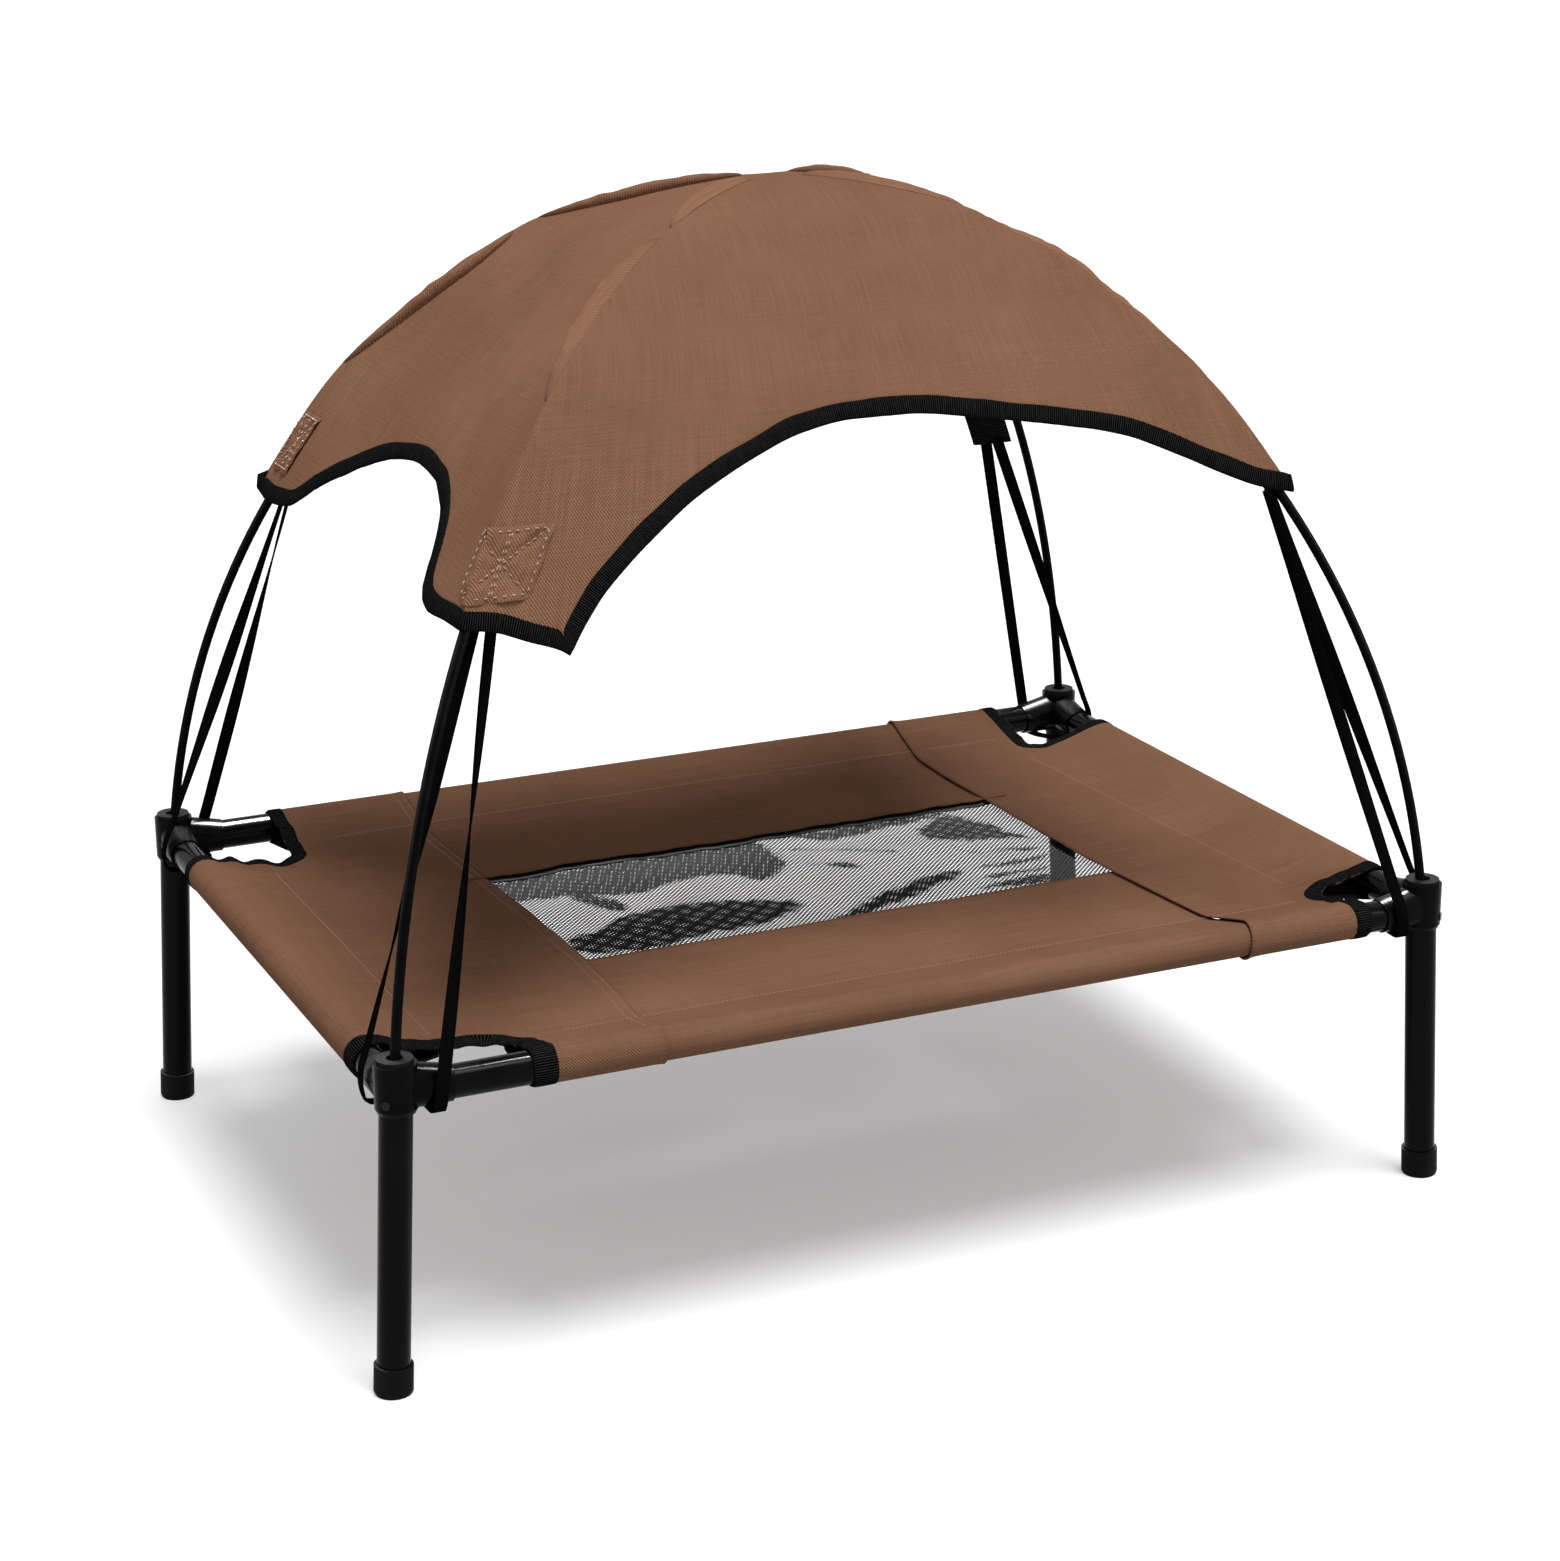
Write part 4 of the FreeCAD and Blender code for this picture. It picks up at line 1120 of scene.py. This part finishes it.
def deck_point(p, q, lift=0.0):
    """Place of a point of the flat cut cloth, p and q metres from the middle."""
    spot = Vector((p, q, RAIL_TOP - deck_drop(p, q)))
    normal = Vector((0, 0, 1))
    for axis, flat, half in ((0, p, HALF_X), (1, q, HALF_Y)):
        beyond = abs(flat) - half
        if beyond > 0:
            reach, height = wrap(beyond)
            angle = min(beyond / WRAP_RADIUS, WRAP_ANGLE)
            spot[axis] = math.copysign(half + reach, flat)
            spot.z = RAIL_TOP - WRAP_RADIUS + height
            normal = Vector((0, 0, math.cos(angle)))
            normal[axis] = math.copysign(math.sin(angle), flat)
    return spot + normal * lift, normal


def even_places(low, high, step):
    count = round((high - low) / step)
    return [lerp(low, high, k / count) for k in range(count + 1)]


def cut_grid(p_range, q_range, hole):
    """Points of a panel's flat grid, and its faces less those in a notch or in the hole."""
    ps, qs = (even_places(*ends, GRID_STEP) for ends in (p_range, q_range))
    for edge in hole or ():
        nearest = min(range(len(qs)), key=lambda k: abs(qs[k] - edge))
        qs[nearest] = edge
    flat = [(p, q) for q in qs for p in ps]
    faces = []
    for quad in grid_faces(len(qs), len(ps)):
        p = sum(flat[k][0] for k in quad) / 4
        q = sum(flat[k][1] for k in quad) / 4
        in_notch = any(notch_side(corner, p, q) < 0 for corner in CORNERS)
        in_hole = hole and hole[0] < q < hole[1]
        if not in_notch and not in_hole:
            faces.append(quad)
    return flat, faces


def border_of(faces):
    """Points on the edges that only one face has."""
    edges = [tuple(sorted(edge)) for face in faces for edge in zip(face, face[1:] + face[:1])]
    return {k for edge, count in Counter(edges).items() if count == 1 for k in edge}


def cut_cloth(name, p_range, q_range, place_of, hole=None):
    """A panel of the deck: a flat grid, cut at the notches and laid over the rails.

    place_of gives a point's place on the cloth and its lift, from its place on the grid."""
    flat, faces = cut_grid(p_range, q_range, hole)
    for k in border_of(faces):
        p, q = flat[k]
        for corner in CORNERS:
            if abs(notch_side(corner, p, q)) < GRID_STEP * 0.9:
                flat[k] = notch_edge(corner, p, q)
    used = sorted({k for face in faces for k in face})
    index = {k: i for i, k in enumerate(used)}
    verts, uvs = [], []
    for k in used:
        p, q, lift = place_of(*flat[k])
        verts.append(deck_point(p, q, lift)[0])
        uvs.append((q, p))
    faces = [tuple(index[k] for k in face) for face in faces]
    panel = make_object(name, verts, faces, uvs, SHADED_DECK_CLOTH)
    face_outward(panel, Vector((0, 0, 1)))
    thicken(panel, CLOTH_THICK, 0.0)
    return panel


def left_place(p, q):
    """The left panel ends at a seam that wanders a few millimetres."""
    near = smooth((p - SEAM_LEFT + 0.04) / 0.04)
    edge = math.exp(-(SEAM_LEFT - p) / 0.003)
    return p + near * (LEFT_SEAM(q) - SEAM_LEFT), q, 0.0002 + 0.0005 * edge


def right_place(p, q):
    """The right panel ends in a folded edge that stands proud of the middle panel."""
    near = smooth((SEAM_RIGHT + 0.04 - p) / 0.04)
    edge = math.exp(-(p - SEAM_RIGHT) / 0.004)
    return p + near * (RIGHT_SEAM(q) - SEAM_RIGHT), q, 0.0003 + 0.0015 * edge


def window_sway(p):
    """How far the loose cloth edge at the back of the window wanders."""
    return 0.0055 * wobble((p, 0, 0), 0.045, 4.0) + 0.0025 * wobble((p, 0, 0), 0.016, 8.0)


def middle_place(p, q):
    """The middle panel's cloth ends loosely at the back of the window and tightly at its front."""
    back = math.exp(-abs(q - WINDOW_BACK) / 0.009) if q >= WINDOW_BACK - 1e-6 else 0.0
    front = math.exp(-abs(q - WINDOW_FRONT) / 0.004) if q <= WINDOW_FRONT + 1e-6 else 0.0
    return p, q + back * window_sway(p), -0.0010 + 0.0026 * back + 0.0006 * front


def make_deck():
    end_p = HALF_X + WRAP_LENGTH + TAIL_LENGTH
    end_q = HALF_Y + WRAP_LENGTH + TAIL_LENGTH
    full_q = (-end_q, end_q)
    middle_p = (SEAM_LEFT - SEAM_OVERLAP, SEAM_RIGHT + SEAM_OVERLAP)
    left = cut_cloth("deck_cloth_left", (-end_p, SEAM_LEFT), full_q, left_place)
    middle = cut_cloth("deck_cloth_middle", middle_p, full_q, middle_place, (WINDOW_FRONT, WINDOW_BACK))
    right = cut_cloth("deck_cloth_right", (SEAM_RIGHT, end_p), full_q, right_place)
    tapes = {corner: make_notch_tape(corner) for corner in CORNERS}
    sewn_on = {
        "left": [tapes["front_left"], tapes["back_left"]],
        "middle": [make_deck_stitches()],
        "right": [tapes["front_right"], tapes["back_right"]],
    }
    rails = ["long_rail_front", "long_rail_back"]
    # Each panel with its width, the share left after notches and window, and the rails it rests on.
    panels = (
        (left, "left", end_p + SEAM_LEFT, 0.72, rails + ["short_rail_left"]),
        (middle, "middle", middle_p[1] - middle_p[0], 0.76, rails),
        (right, "right", end_p - SEAM_RIGHT, 0.80, rails + ["short_rail_right"]),
    )
    for panel, name, width, share, rests_on in panels:
        place(panel, "deck_cloth", "frame", [f"deck_panel_{name}"])
        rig.sheet(panel, flat=(width, 2 * end_q), held="stretched", area=share * width * 2 * end_q,
                 rests_on=rests_on, with_pieces=sewn_on[name])


def make_notch_tape(corner):
    """Ribbed tape round a notch, from under one rail to under the other."""
    side, end = CORNERS[corner]
    depth_x, depth_y, radius, width = NOTCH[corner]
    tail = WRAP_LENGTH + TAIL_LENGTH * 0.9
    inner_x, inner_y = depth_x - radius, depth_y - radius
    steps = 70
    turn = max(6, round(radius * math.pi / 2 / 0.002))
    angles = [math.pi / 2 * k / turn for k in range(1, turn)]
    flat = [(depth_x, lerp(-tail, inner_y, k / steps)) for k in range(steps + 1)]
    flat += [(inner_x + radius * math.cos(a), inner_y + radius * math.sin(a)) for a in angles]
    flat += [(lerp(inner_x, -tail, k / steps), depth_y) for k in range(steps + 1)]
    line = [Vector((side * (HALF_X - u), end * (HALF_Y - v))) for u, v in flat]
    rows, uvs = [], []
    for spot, along, run in zip(line, tangents_along(line), lengths_along(line)):
        inward = Vector((-along.y, along.x))
        ahead = spot + inward * 0.002
        if notch_side(corner, ahead.x, ahead.y) < 0:
            inward = -inward
        wide = width * (1.0 + 0.10 * wobble((run, 0, 0), 0.02, 2.0))
        row = []
        for a, b in TAPE_SECTION:
            at = spot + inward * (a * wide)
            row.append(deck_point(at.x, at.y, b * 0.0011 + 0.0002)[0])
        rows.append(row)
        uvs += tape_uvs(run, width)
    tape = tape_object(f"notch_tape_{corner}", rows, uvs, False)
    return place(tape, "ribbed_tape", "frame", [f"deck_tape_{corner}"])


def make_deck_stitches():
    """Rows of light thread along the sleeves and beside the left seam."""
    back, front = 0.2135, -0.2110
    rows = [
        [(-0.245, front), (0.0, front), (0.298, front)],
        [(-0.262, back), (0.0, back + 0.001), (0.288, back)],
        [(0.312, -0.172), (0.304, 0.0), (0.296, 0.170)],
        [(-0.3235, -0.182), (-0.323, 0.0), (-0.3235, 0.155)],
    ]
    for inset in (0.0022, 0.0080):
        rows.append([(LEFT_SEAM(q) - inset, q) for q in (-0.25, -0.17, -0.09, 0.0, 0.09, 0.17, 0.25)])
    runs = []
    for row in rows:
        for ends in zip(row, row[1:]):
            cuts = max(1, round(math.dist(*ends) / 0.009))
            runs += runs_between(deck_point, ends, cuts, 0.0009)
    return stitches("deck_stitches", runs, "deck_cloth", "frame", *DECK_THREAD)


# ------------------------------------------------------------ mesh window

NET_PITCH = 0.0028
NET_HOLE = 0.52                   # side of a hole as a share of its cell
# These also shape the band of painted shadow at the back edge.
FOLD_HOLE = 0.30
FOLD_EDGE_HOLE = 0.93             # at the rim of a fold, where it fades into the net
FOLD_HANG = 0.0018                # from the net down to its slack folds
WINDOW_LOW = (SEAM_LEFT - 0.006, WINDOW_FRONT - 0.008)
WINDOW_HIGH = (SEAM_RIGHT + 0.008, WINDOW_BACK + 0.010)
# Slack folds of the net that hang under it, and one band of painted shadow along the back edge, as outlines in
# millimetres.
NET_FOLDS_AND_SHADOW = {
    "back_left": [(-194, 92), (-150, 95), (-85, 95), (-20, 96), (20, 96), (30, 70), (27, 40), (8, 14),
                  (-10, 12), (-22, 34), (-60, 34), (-98, 24), (-140, 40), (-190, 44)],
    "cross_left": [(-150, 60), (-128, 52), (-112, 6), (-120, -8), (-136, 12)],
    "front_left": [(-182, -38), (-150, -30), (-120, -8), (-86, -6), (-40, -14), (4, -38), (-24, -66),
                   (-76, -74), (-126, -84), (-164, -80), (-178, -62)],
    # Painted shadow: a dense band of net standing for the shadow under the loose cloth's back edge.
    "back_edge": [(26, 94), (70, 96), (140, 95), (188, 94), (160, 80), (120, 76), (80, 72), (50, 84)],
    "line_middle": [(22, 74), (60, 62), (98, 40), (112, 30), (104, 24), (84, 40), (48, 62)],
    "right": [(142, 66), (176, 88), (196, 66), (204, 40), (214, 6), (196, 16), (166, 22), (150, 34),
              (136, 44)],
    "front_middle": [(-12, -94), (25, -66), (62, -46), (100, -30), (138, -28), (118, -46), (82, -64),
                     (43, -80), (8, -96)],
    "middle": [(36, 34), (56, 30), (74, 8), (60, 8)],
    "front_right": [(118, -72), (150, -62), (180, -62), (204, -72), (180, -82), (146, -82)],
    "streak_high": [(152, 2), (176, 2), (200, -6), (214, -14), (198, -16), (172, -8)],
    "streak_right": [(138, -30), (166, -26), (190, -28), (210, -20), (200, -34), (172, -38)],
    "streak_low": [(120, -52), (150, -46), (178, -48), (196, -44), (186, -56), (150, -58)],
}


def inside_outline(outline, x, y):
    """Distance in from an outline's nearest edge, negative outside it."""
    inside = False
    nearest = 1.0
    for (x0, y0), (x1, y1) in zip(outline, outline[1:] + outline[:1]):
        if (y0 > y) != (y1 > y) and x < x0 + (y - y0) * (x1 - x0) / (y1 - y0):
            inside = not inside
        dx, dy = x1 - x0, y1 - y0
        along = ((x - x0) * dx + (y - y0) * dy) / (dx * dx + dy * dy)
        along = min(1.0, max(0.0, along))
        nearest = min(nearest, math.hypot(x - x0 - dx * along, y - y0 - dy * along))
    return nearest if inside else -nearest


def net(name, low, high, turn, covers, hole_share, place_of):
    """An open net of flat threads round square holes, over the rectangle from low to high."""
    column_step = NET_PITCH * math.sqrt(2)
    row_step = column_step / 2
    middle = ((low[0] + high[0]) / 2, (low[1] + high[1]) / 2)
    reach = math.hypot(high[0] - low[0], high[1] - low[1]) / 2 if turn else 0.0
    half_across = max(reach, (high[0] - low[0]) / 2) / column_step
    half_deep = max(reach, (high[1] - low[1]) / 2) / row_step
    corners = [(0.5, 0.0), (0.0, 1.0), (-0.5, 0.0), (0.0, -1.0)]
    cos, sin = math.cos(turn), math.sin(turn)
    verts, faces = [], []
    for row in range(-math.ceil(half_deep), math.ceil(half_deep) + 1):
        for column in range(-math.ceil(half_across), math.ceil(half_across) + 1):
            u = (column + (0.5 if row % 2 else 0.0)) * column_step
            v = row * row_step
            x = middle[0] + u * cos - v * sin
            y = middle[1] + u * sin + v * cos
            if not covers(x, y):
                continue
            base = len(verts)
            for share in (1.0, hole_share(x, y)):
                for a, b in corners:
                    du, dv = a * column_step * share, b * row_step * share
                    verts.append(place_of(x + du * cos - dv * sin, y + du * sin + dv * cos))
            for k in range(4):
                n = (k + 1) % 4
                faces.append((base + k, base + n, base + 4 + n, base + 4 + k))
    return make_object(name, verts, faces, None, NET)


def taut_net(x, y):
    """Place of a point of the stretched net, just under the cloth."""
    height = RAIL_TOP - deck_drop(x, y) - 0.0026 - 0.0012 * abs(wobble((x, y * 1.6, 0), 0.045, 2.0))
    return Vector((x, y, height))


def make_net_border():
    """The net's turned edge, sewn down under the loose cloth at the back of the window. It is a solid dark strip,
    partly painted shade for the shadow under the cloth's edge.
    """
    steps = 90
    rows = []
    for k in range(steps + 1):
        x = lerp(SEAM_LEFT - 0.004, SEAM_RIGHT + 0.006, k / steps)
        edge = WINDOW_BACK + window_sway(x)
        width = 0.0034 + 0.0016 * wobble((x, 0, 0), 0.03, 11.0)
        rows.append(taut_net(x, edge - width) + Vector((0, 0, 0.0006)))
        rows.append(taut_net(x, edge - width * 0.4) + Vector((0, 0, 0.0012)))
        rows.append(deck_point(x, edge + 0.003, 0.0006)[0])
    # Solid strip without holes: partly the turned edge, partly painted shade under the loose cloth's edge.
    border = make_object("mesh_border", rows, grid_faces(steps + 1, 3), None, NET)
    face_outward(border, Vector((0, 0, 1)))
    thicken(border, 0.0004)
    return place(border, "mesh", "frame")


def in_window(x, y):
    return WINDOW_LOW[0] < x < WINDOW_HIGH[0] and WINDOW_LOW[1] < y < WINDOW_HIGH[1]


def even_holes(x, y):
    return NET_HOLE + 0.05 * wobble((x, y, 0), 0.05, 12.0)


def make_net_patch(where, millimetres, turn):
    """A patch of denser net that hangs under the window. Most are slack folds; the one at the back edge is painted
    shadow.
    """
    corners = [Vector((x / 1000, y / 1000, 0)) for x, y in millimetres]
    outline = [(p.x, p.y) for p in resample(corners + corners[:1], 0.012)[:-1]]
    low = (min(x for x, _ in outline), min(y for _, y in outline))
    high = (max(x for x, _ in outline), max(y for _, y in outline))

    def in_patch(x, y):
        return in_window(x, y) and inside_outline(outline, x, y) > 0

    def fading_holes(x, y):
        depth = inside_outline(outline, x, y) + 0.005 * wobble((x, y, 0), 0.018, 14.0)
        return lerp(FOLD_EDGE_HOLE, FOLD_HOLE, smooth(depth / 0.007))

    def slack(x, y):
        return taut_net(x, y) - Vector((0, 0, FOLD_HANG))

    fold = net(f"mesh_fold_{where}", low, high, turn, in_patch, fading_holes, slack)
    return place(fold, "mesh", "frame")


def make_window():
    upper = net("mesh_net", WINDOW_LOW, WINDOW_HIGH, 0.0, in_window, even_holes, taut_net)
    place(upper, "mesh", "frame", ["mesh_window"])
    slack_and_shadow_parts = [make_net_border()]
    for number, (where, outline) in enumerate(NET_FOLDS_AND_SHADOW.items()):
        slack_and_shadow_parts.append(make_net_patch(where, outline, 0.35 + 0.5 * number))
    width, length = WINDOW_HIGH[1] - WINDOW_LOW[1], WINDOW_HIGH[0] - WINDOW_LOW[0]
    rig.sheet(upper, flat=(width, length), held="stretched", area=(1 - NET_HOLE ** 2) * width * length,
             rests_on=["deck_cloth_middle", "deck_cloth_left", "deck_cloth_right"],
             with_pieces=slack_and_shadow_parts)


# ------------------------------------------------------------ straps

STRAP_FOOT = 0.0235               # leg axis to the strap, along an arm
STRAP_ASIDE = 0.0138              # arm axis to the strap's sides
STRAP_LOW = 0.1864                # under the arms
STRAP_SIDE = 0.1920               # beside them
STRAP_HIGH = 0.206                # where the strands leave them
STRAP_SIZE = (0.0088, 0.0012)     # width and thickness of the elastic
STRAND_GAP = 0.0050               # from the head's middle to each strand
TURN_START = 0.212                # height at which a strand starts to turn
UNDER_ARMS = 0.1890               # below this height the elastic runs from one arm to the other
# Head of the loop: from the pole's line towards the middle along x and along y, and its height.
STRAP_HEAD = {
    "front_left": (0.0115, 0.0080, 0.478),
    "front_right": (0.0070, 0.0050, 0.492),
    "back_right": (0.0270, 0.0040, 0.448),
    "back_left": (0.0070, 0.0050, 0.478),
}
# How many degrees each strand turns on its way up: the one on the long rail, then the other.
STRAP_TURN = {
    "front_left": (-125, -145),
    "front_right": (-70, -110),
    "back_right": (20, 60),
    "back_left": (-125, -145),
}


def beside_pole(corner, z):
    """Point at a height that keeps the strap head's distance from the pole."""
    side, end = CORNERS[corner]
    in_x, in_y, _ = STRAP_HEAD[corner]
    reach, _ = pole_line(math.asin((z - LOW_CENTRE[1]) / LOW_RADIUS), 0.0)
    return on_diagonal(corner, reach, z) + Vector((-side * in_x, -end * in_y, 0))


def strap_route(corner):
    """Middle line of the elastic loop: down, round both arms and up again."""
    side, end = CORNERS[corner]
    axis = Vector((side * HALF_X, end * HALF_Y, 0))
    head = beside_pole(corner, STRAP_HEAD[corner][2])
    apart = Vector((-side * HALF_Y, end * HALF_X, 0)).normalized() * STRAND_GAP

    def near(along_x, along_y, z):
        return axis + Vector((-side * along_x, -end * along_y, z))

    long_top, short_top = head + apart, head - apart
    long_high = near(STRAP_FOOT + 0.002, -STRAP_ASIDE, STRAP_HIGH)
    short_high = near(-STRAP_ASIDE, STRAP_FOOT + 0.002, STRAP_HIGH)
    route = [long_top] + [long_top.lerp(long_high, t) for t in (0.02, 0.25, 0.5, 0.75, 0.93)]
    route += [
        long_high,
        near(STRAP_FOOT, -STRAP_ASIDE, STRAP_SIDE),
        near(STRAP_FOOT - 0.001, -STRAP_ASIDE + 0.004, STRAP_LOW),
        near(STRAP_FOOT - 0.003, 0.008, STRAP_LOW),
        near(0.008, STRAP_FOOT - 0.003, STRAP_LOW),
        near(-STRAP_ASIDE + 0.004, STRAP_FOOT - 0.001, STRAP_LOW),
        near(-STRAP_ASIDE, STRAP_FOOT, STRAP_SIDE),
        short_high,
    ]
    route += [short_high.lerp(short_top, t) for t in (0.07, 0.25, 0.5, 0.75, 0.98)] + [short_top]
    return resample(route, 0.0032)


def make_strap(corner):
    """Elastic loop whose two strands turn on their way, as they hang between tab and arms."""
    side, end = CORNERS[corner]
    hand = side * end
    points = strap_route(corner)
    along_long, along_short = Vector((1, 0, 0)), Vector((0, -hand, 0))
    widths, normals = [], []
    top = points[0].z
    half = len(points) / 2
    for i, (point, tangent) in enumerate(zip(points, tangents_along(points))):
        on_long = i < half
        rail_way = along_long if on_long else along_short
        if point.z < UNDER_ARMS:
            rail_way = along_long.lerp(along_short, smooth((i - half * 0.93) / (half * 0.14)))
        width = (rail_way - tangent * rail_way.dot(tangent)).normalized()
        climb = (point.z - TURN_START) / (top - TURN_START)
        turn = math.radians(STRAP_TURN[corner][0 if on_long else 1]) * hand * smooth(climb / 0.95)
        width = Matrix.Rotation(turn, 3, tangent) @ width
        widths.append(width)
        normals.append(tangent.cross(width).normalized())
    strap = band(f"strap_{corner}", points, widths, normals, *STRAP_SIZE, ELASTIC)
    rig.slot(strap, "elastic")
    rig.replaces(strap, f"elastic_strap_{corner}")
    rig.blend(strap, "frame", "canopy", (0, 0, 0.21), (0, 0, 0.448))
    return strap


def make_anchor(corner):
    """Webbing behind the pole that the elastic is sewn to. The back right one is a wide strip."""
    side, end = CORNERS[corner]
    bottom = STRAP_HEAD[corner][2] - 0.004
    if corner == "back_right":
        width, top, across = 0.0330, 0.500, Vector((1, 0, 0))
    else:
        width, top = 0.0165, bottom + 0.026
        across = Vector((-end * HALF_Y, side * HALF_X, 0)).normalized()
    cuts = 13
    points = [beside_pole(corner, lerp(top, bottom, k / cuts)) for k in range(cuts + 1)]
    normals = [tangent.cross(across).normalized() for tangent in tangents_along(points)]
    anchor = band(f"anchor_{corner}", points, [across] * len(points), normals, width, 0.0019, WEBBING)
    return place(anchor, "webbing", "canopy", ["strap_anchors"])


# ------------------------------------------------------------ stage

FLOOR_HALF = 14.0
FLOOR_GREY = 0.72
FLOOR_BOUNCE = 0.48               # how pale the floor is to the light that it throws back
FLOOR_GLOW = 0.30                 # added where the floor is seen, so that it is pure white when lit
WORLD_LIGHT = 0.46                # dimmer than the white background, which has a strength of 1
SUN_TOWARDS = (0.10, -0.24, 1.0)
SUN_SPREAD = math.radians(30)
SUN_STRENGTH = 3.15
# Strip lamps: place, the point each faces, its two sides in metres and its power.
STRIPS = {
    "strip overhead": ((0.1, 0.6, 2.2), (0.0, 0.0, 0.2), (2.0, 0.9), 3200),
    "strip right": ((1.9, -1.5, 1.0), (0.0, 0.0, 0.3), (0.07, 1.5), 140),
    "strip left": ((-2.2, 0.1, 1.2), (0.0, 0.0, 0.3), (0.07, 1.4), 110),
}
# The camera, from a fit to the photo's corners, feet and poles.
CAMERA_PLACE = (-0.9354, -2.0748, 1.0081)
CAMERA_AZIMUTH = math.radians(-24.325)
CAMERA_ELEVATION = math.radians(17.977)
CAMERA_ROLL = math.radians(-0.466)
CAMERA_LENS = 78.17
CAMERA_SENSOR = 36.0


def seen_directly(tree):
    """1 where the camera looks, also by reflection or through something clear, and 0 for other light."""
    rays = tree.nodes.new("ShaderNodeLightPath")
    seen = rays.outputs["Is Camera Ray"]
    for kind in ("Is Transmission Ray", "Is Glossy Ray"):
        either = tree.nodes.new("ShaderNodeMath")
        either.operation = "MAXIMUM"
        tree.links.new(seen, either.inputs[0])
        tree.links.new(rays.outputs[kind], either.inputs[1])
        seen = either.outputs[0]
    return seen


def make_stage():
    """Plain white floor that keeps the shadow and shows pure white elsewhere."""
    outline = [(x * FLOOR_HALF, y * FLOOR_HALF, 0) for x, y in ((-1, -1), (1, -1), (1, 1), (-1, 1))]
    shader = Shader("floor", (FLOOR_GREY,) * 3, 0.95, Specular_IOR_Level=0.0)
    rays = shader.node("ShaderNodeLightPath")
    shader.colour_between(rays.outputs["Is Diffuse Ray"], (FLOOR_GREY,) * 3, (FLOOR_BOUNCE,) * 3)
    glow = shader.node("ShaderNodeEmission")
    shader.link(shader.math("MULTIPLY", seen_directly(shader.tree), FLOOR_GLOW), glow.inputs["Strength"])
    total = shader.node("ShaderNodeAddShader")
    shader.link(shader.shader.outputs[0], total.inputs[0])
    shader.link(glow.outputs[0], total.inputs[1])
    shader.link(total.outputs[0], shader.tree.nodes["Material Output"].inputs["Surface"])
    floor = make_object("floor", outline, [(0, 1, 2, 3)], None, shader.material)
    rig.stage(floor)


def make_world():
    """White background where it is seen, and a dimmer even light for everything else."""
    world = bpy.data.worlds.new("studio")
    bpy.context.scene.world = world
    world.use_nodes = True
    tree = world.node_tree
    background = tree.nodes["Background"]
    background.inputs["Color"].default_value = (1, 1, 1, 1)
    strength = tree.nodes.new("ShaderNodeMapRange")
    strength.inputs["To Min"].default_value = WORLD_LIGHT
    strength.inputs["To Max"].default_value = 1.0
    tree.links.new(seen_directly(tree), strength.inputs["Value"])
    tree.links.new(strength.outputs["Result"], background.inputs["Strength"])


def add_lamp(name, light, way):
    lamp = bpy.data.objects.new(name, light)
    bpy.context.collection.objects.link(lamp)
    lamp.rotation_euler = way.to_track_quat("-Z", "Y").to_euler()
    return lamp


def make_sun():
    """Even light from above, as wide as a large soft box."""
    light = bpy.data.lights.new("sky", "SUN")
    light.angle = SUN_SPREAD
    light.energy = SUN_STRENGTH
    add_lamp("sky", light, -Vector(SUN_TOWARDS))


def make_strip(name, spot, target, size, power):
    """Lamp that shows only as a streak on glossy tubes and doesn't light the cloth."""
    light = bpy.data.lights.new(name, "AREA")
    light.shape = "RECTANGLE"
    light.size, light.size_y = size
    light.energy = power
    lamp = add_lamp(name, light, Vector(target) - Vector(spot))
    lamp.location = spot
    lamp.visible_diffuse = False


def make_camera():
    """Camera at the reference view."""
    level = math.cos(CAMERA_ELEVATION)
    back = Vector((math.sin(CAMERA_AZIMUTH) * level, -math.cos(CAMERA_AZIMUTH) * level,
                   math.sin(CAMERA_ELEVATION)))
    right = (-back).cross(Vector((0, 0, 1))).normalized()
    up = right.cross(-back)
    turned_right = right * math.cos(CAMERA_ROLL) + up * math.sin(CAMERA_ROLL)
    turned_up = up * math.cos(CAMERA_ROLL) - right * math.sin(CAMERA_ROLL)
    data = bpy.data.cameras.new("camera")
    data.sensor_width = CAMERA_SENSOR
    data.lens = CAMERA_LENS
    camera = bpy.data.objects.new("camera", data)
    bpy.context.collection.objects.link(camera)
    turn = Matrix((turned_right, turned_up, back)).transposed()
    camera.matrix_world = Matrix.Translation(CAMERA_PLACE) @ turn.to_4x4()
    bpy.context.scene.camera = camera


def main():
    bpy.context.scene.view_settings.view_transform = "Standard"
    make_camera()
    make_world()
    make_sun()
    for name, settings in STRIPS.items():
        make_strip(name, *settings)
    make_stage()
    finish_hard_parts()
    make_canopy()
    make_deck()
    make_window()
    for corner in CORNERS:
        make_strap(corner)
    sizes = {"cad": [list(CAD_BOX[0]), list(CAD_BOX[1])]}
    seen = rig.bounds()
    sizes["visual"] = [list(seen[0]), list(seen[1])]
    with open("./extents.json", "w") as out:
        json.dump(sizes, out)


main()
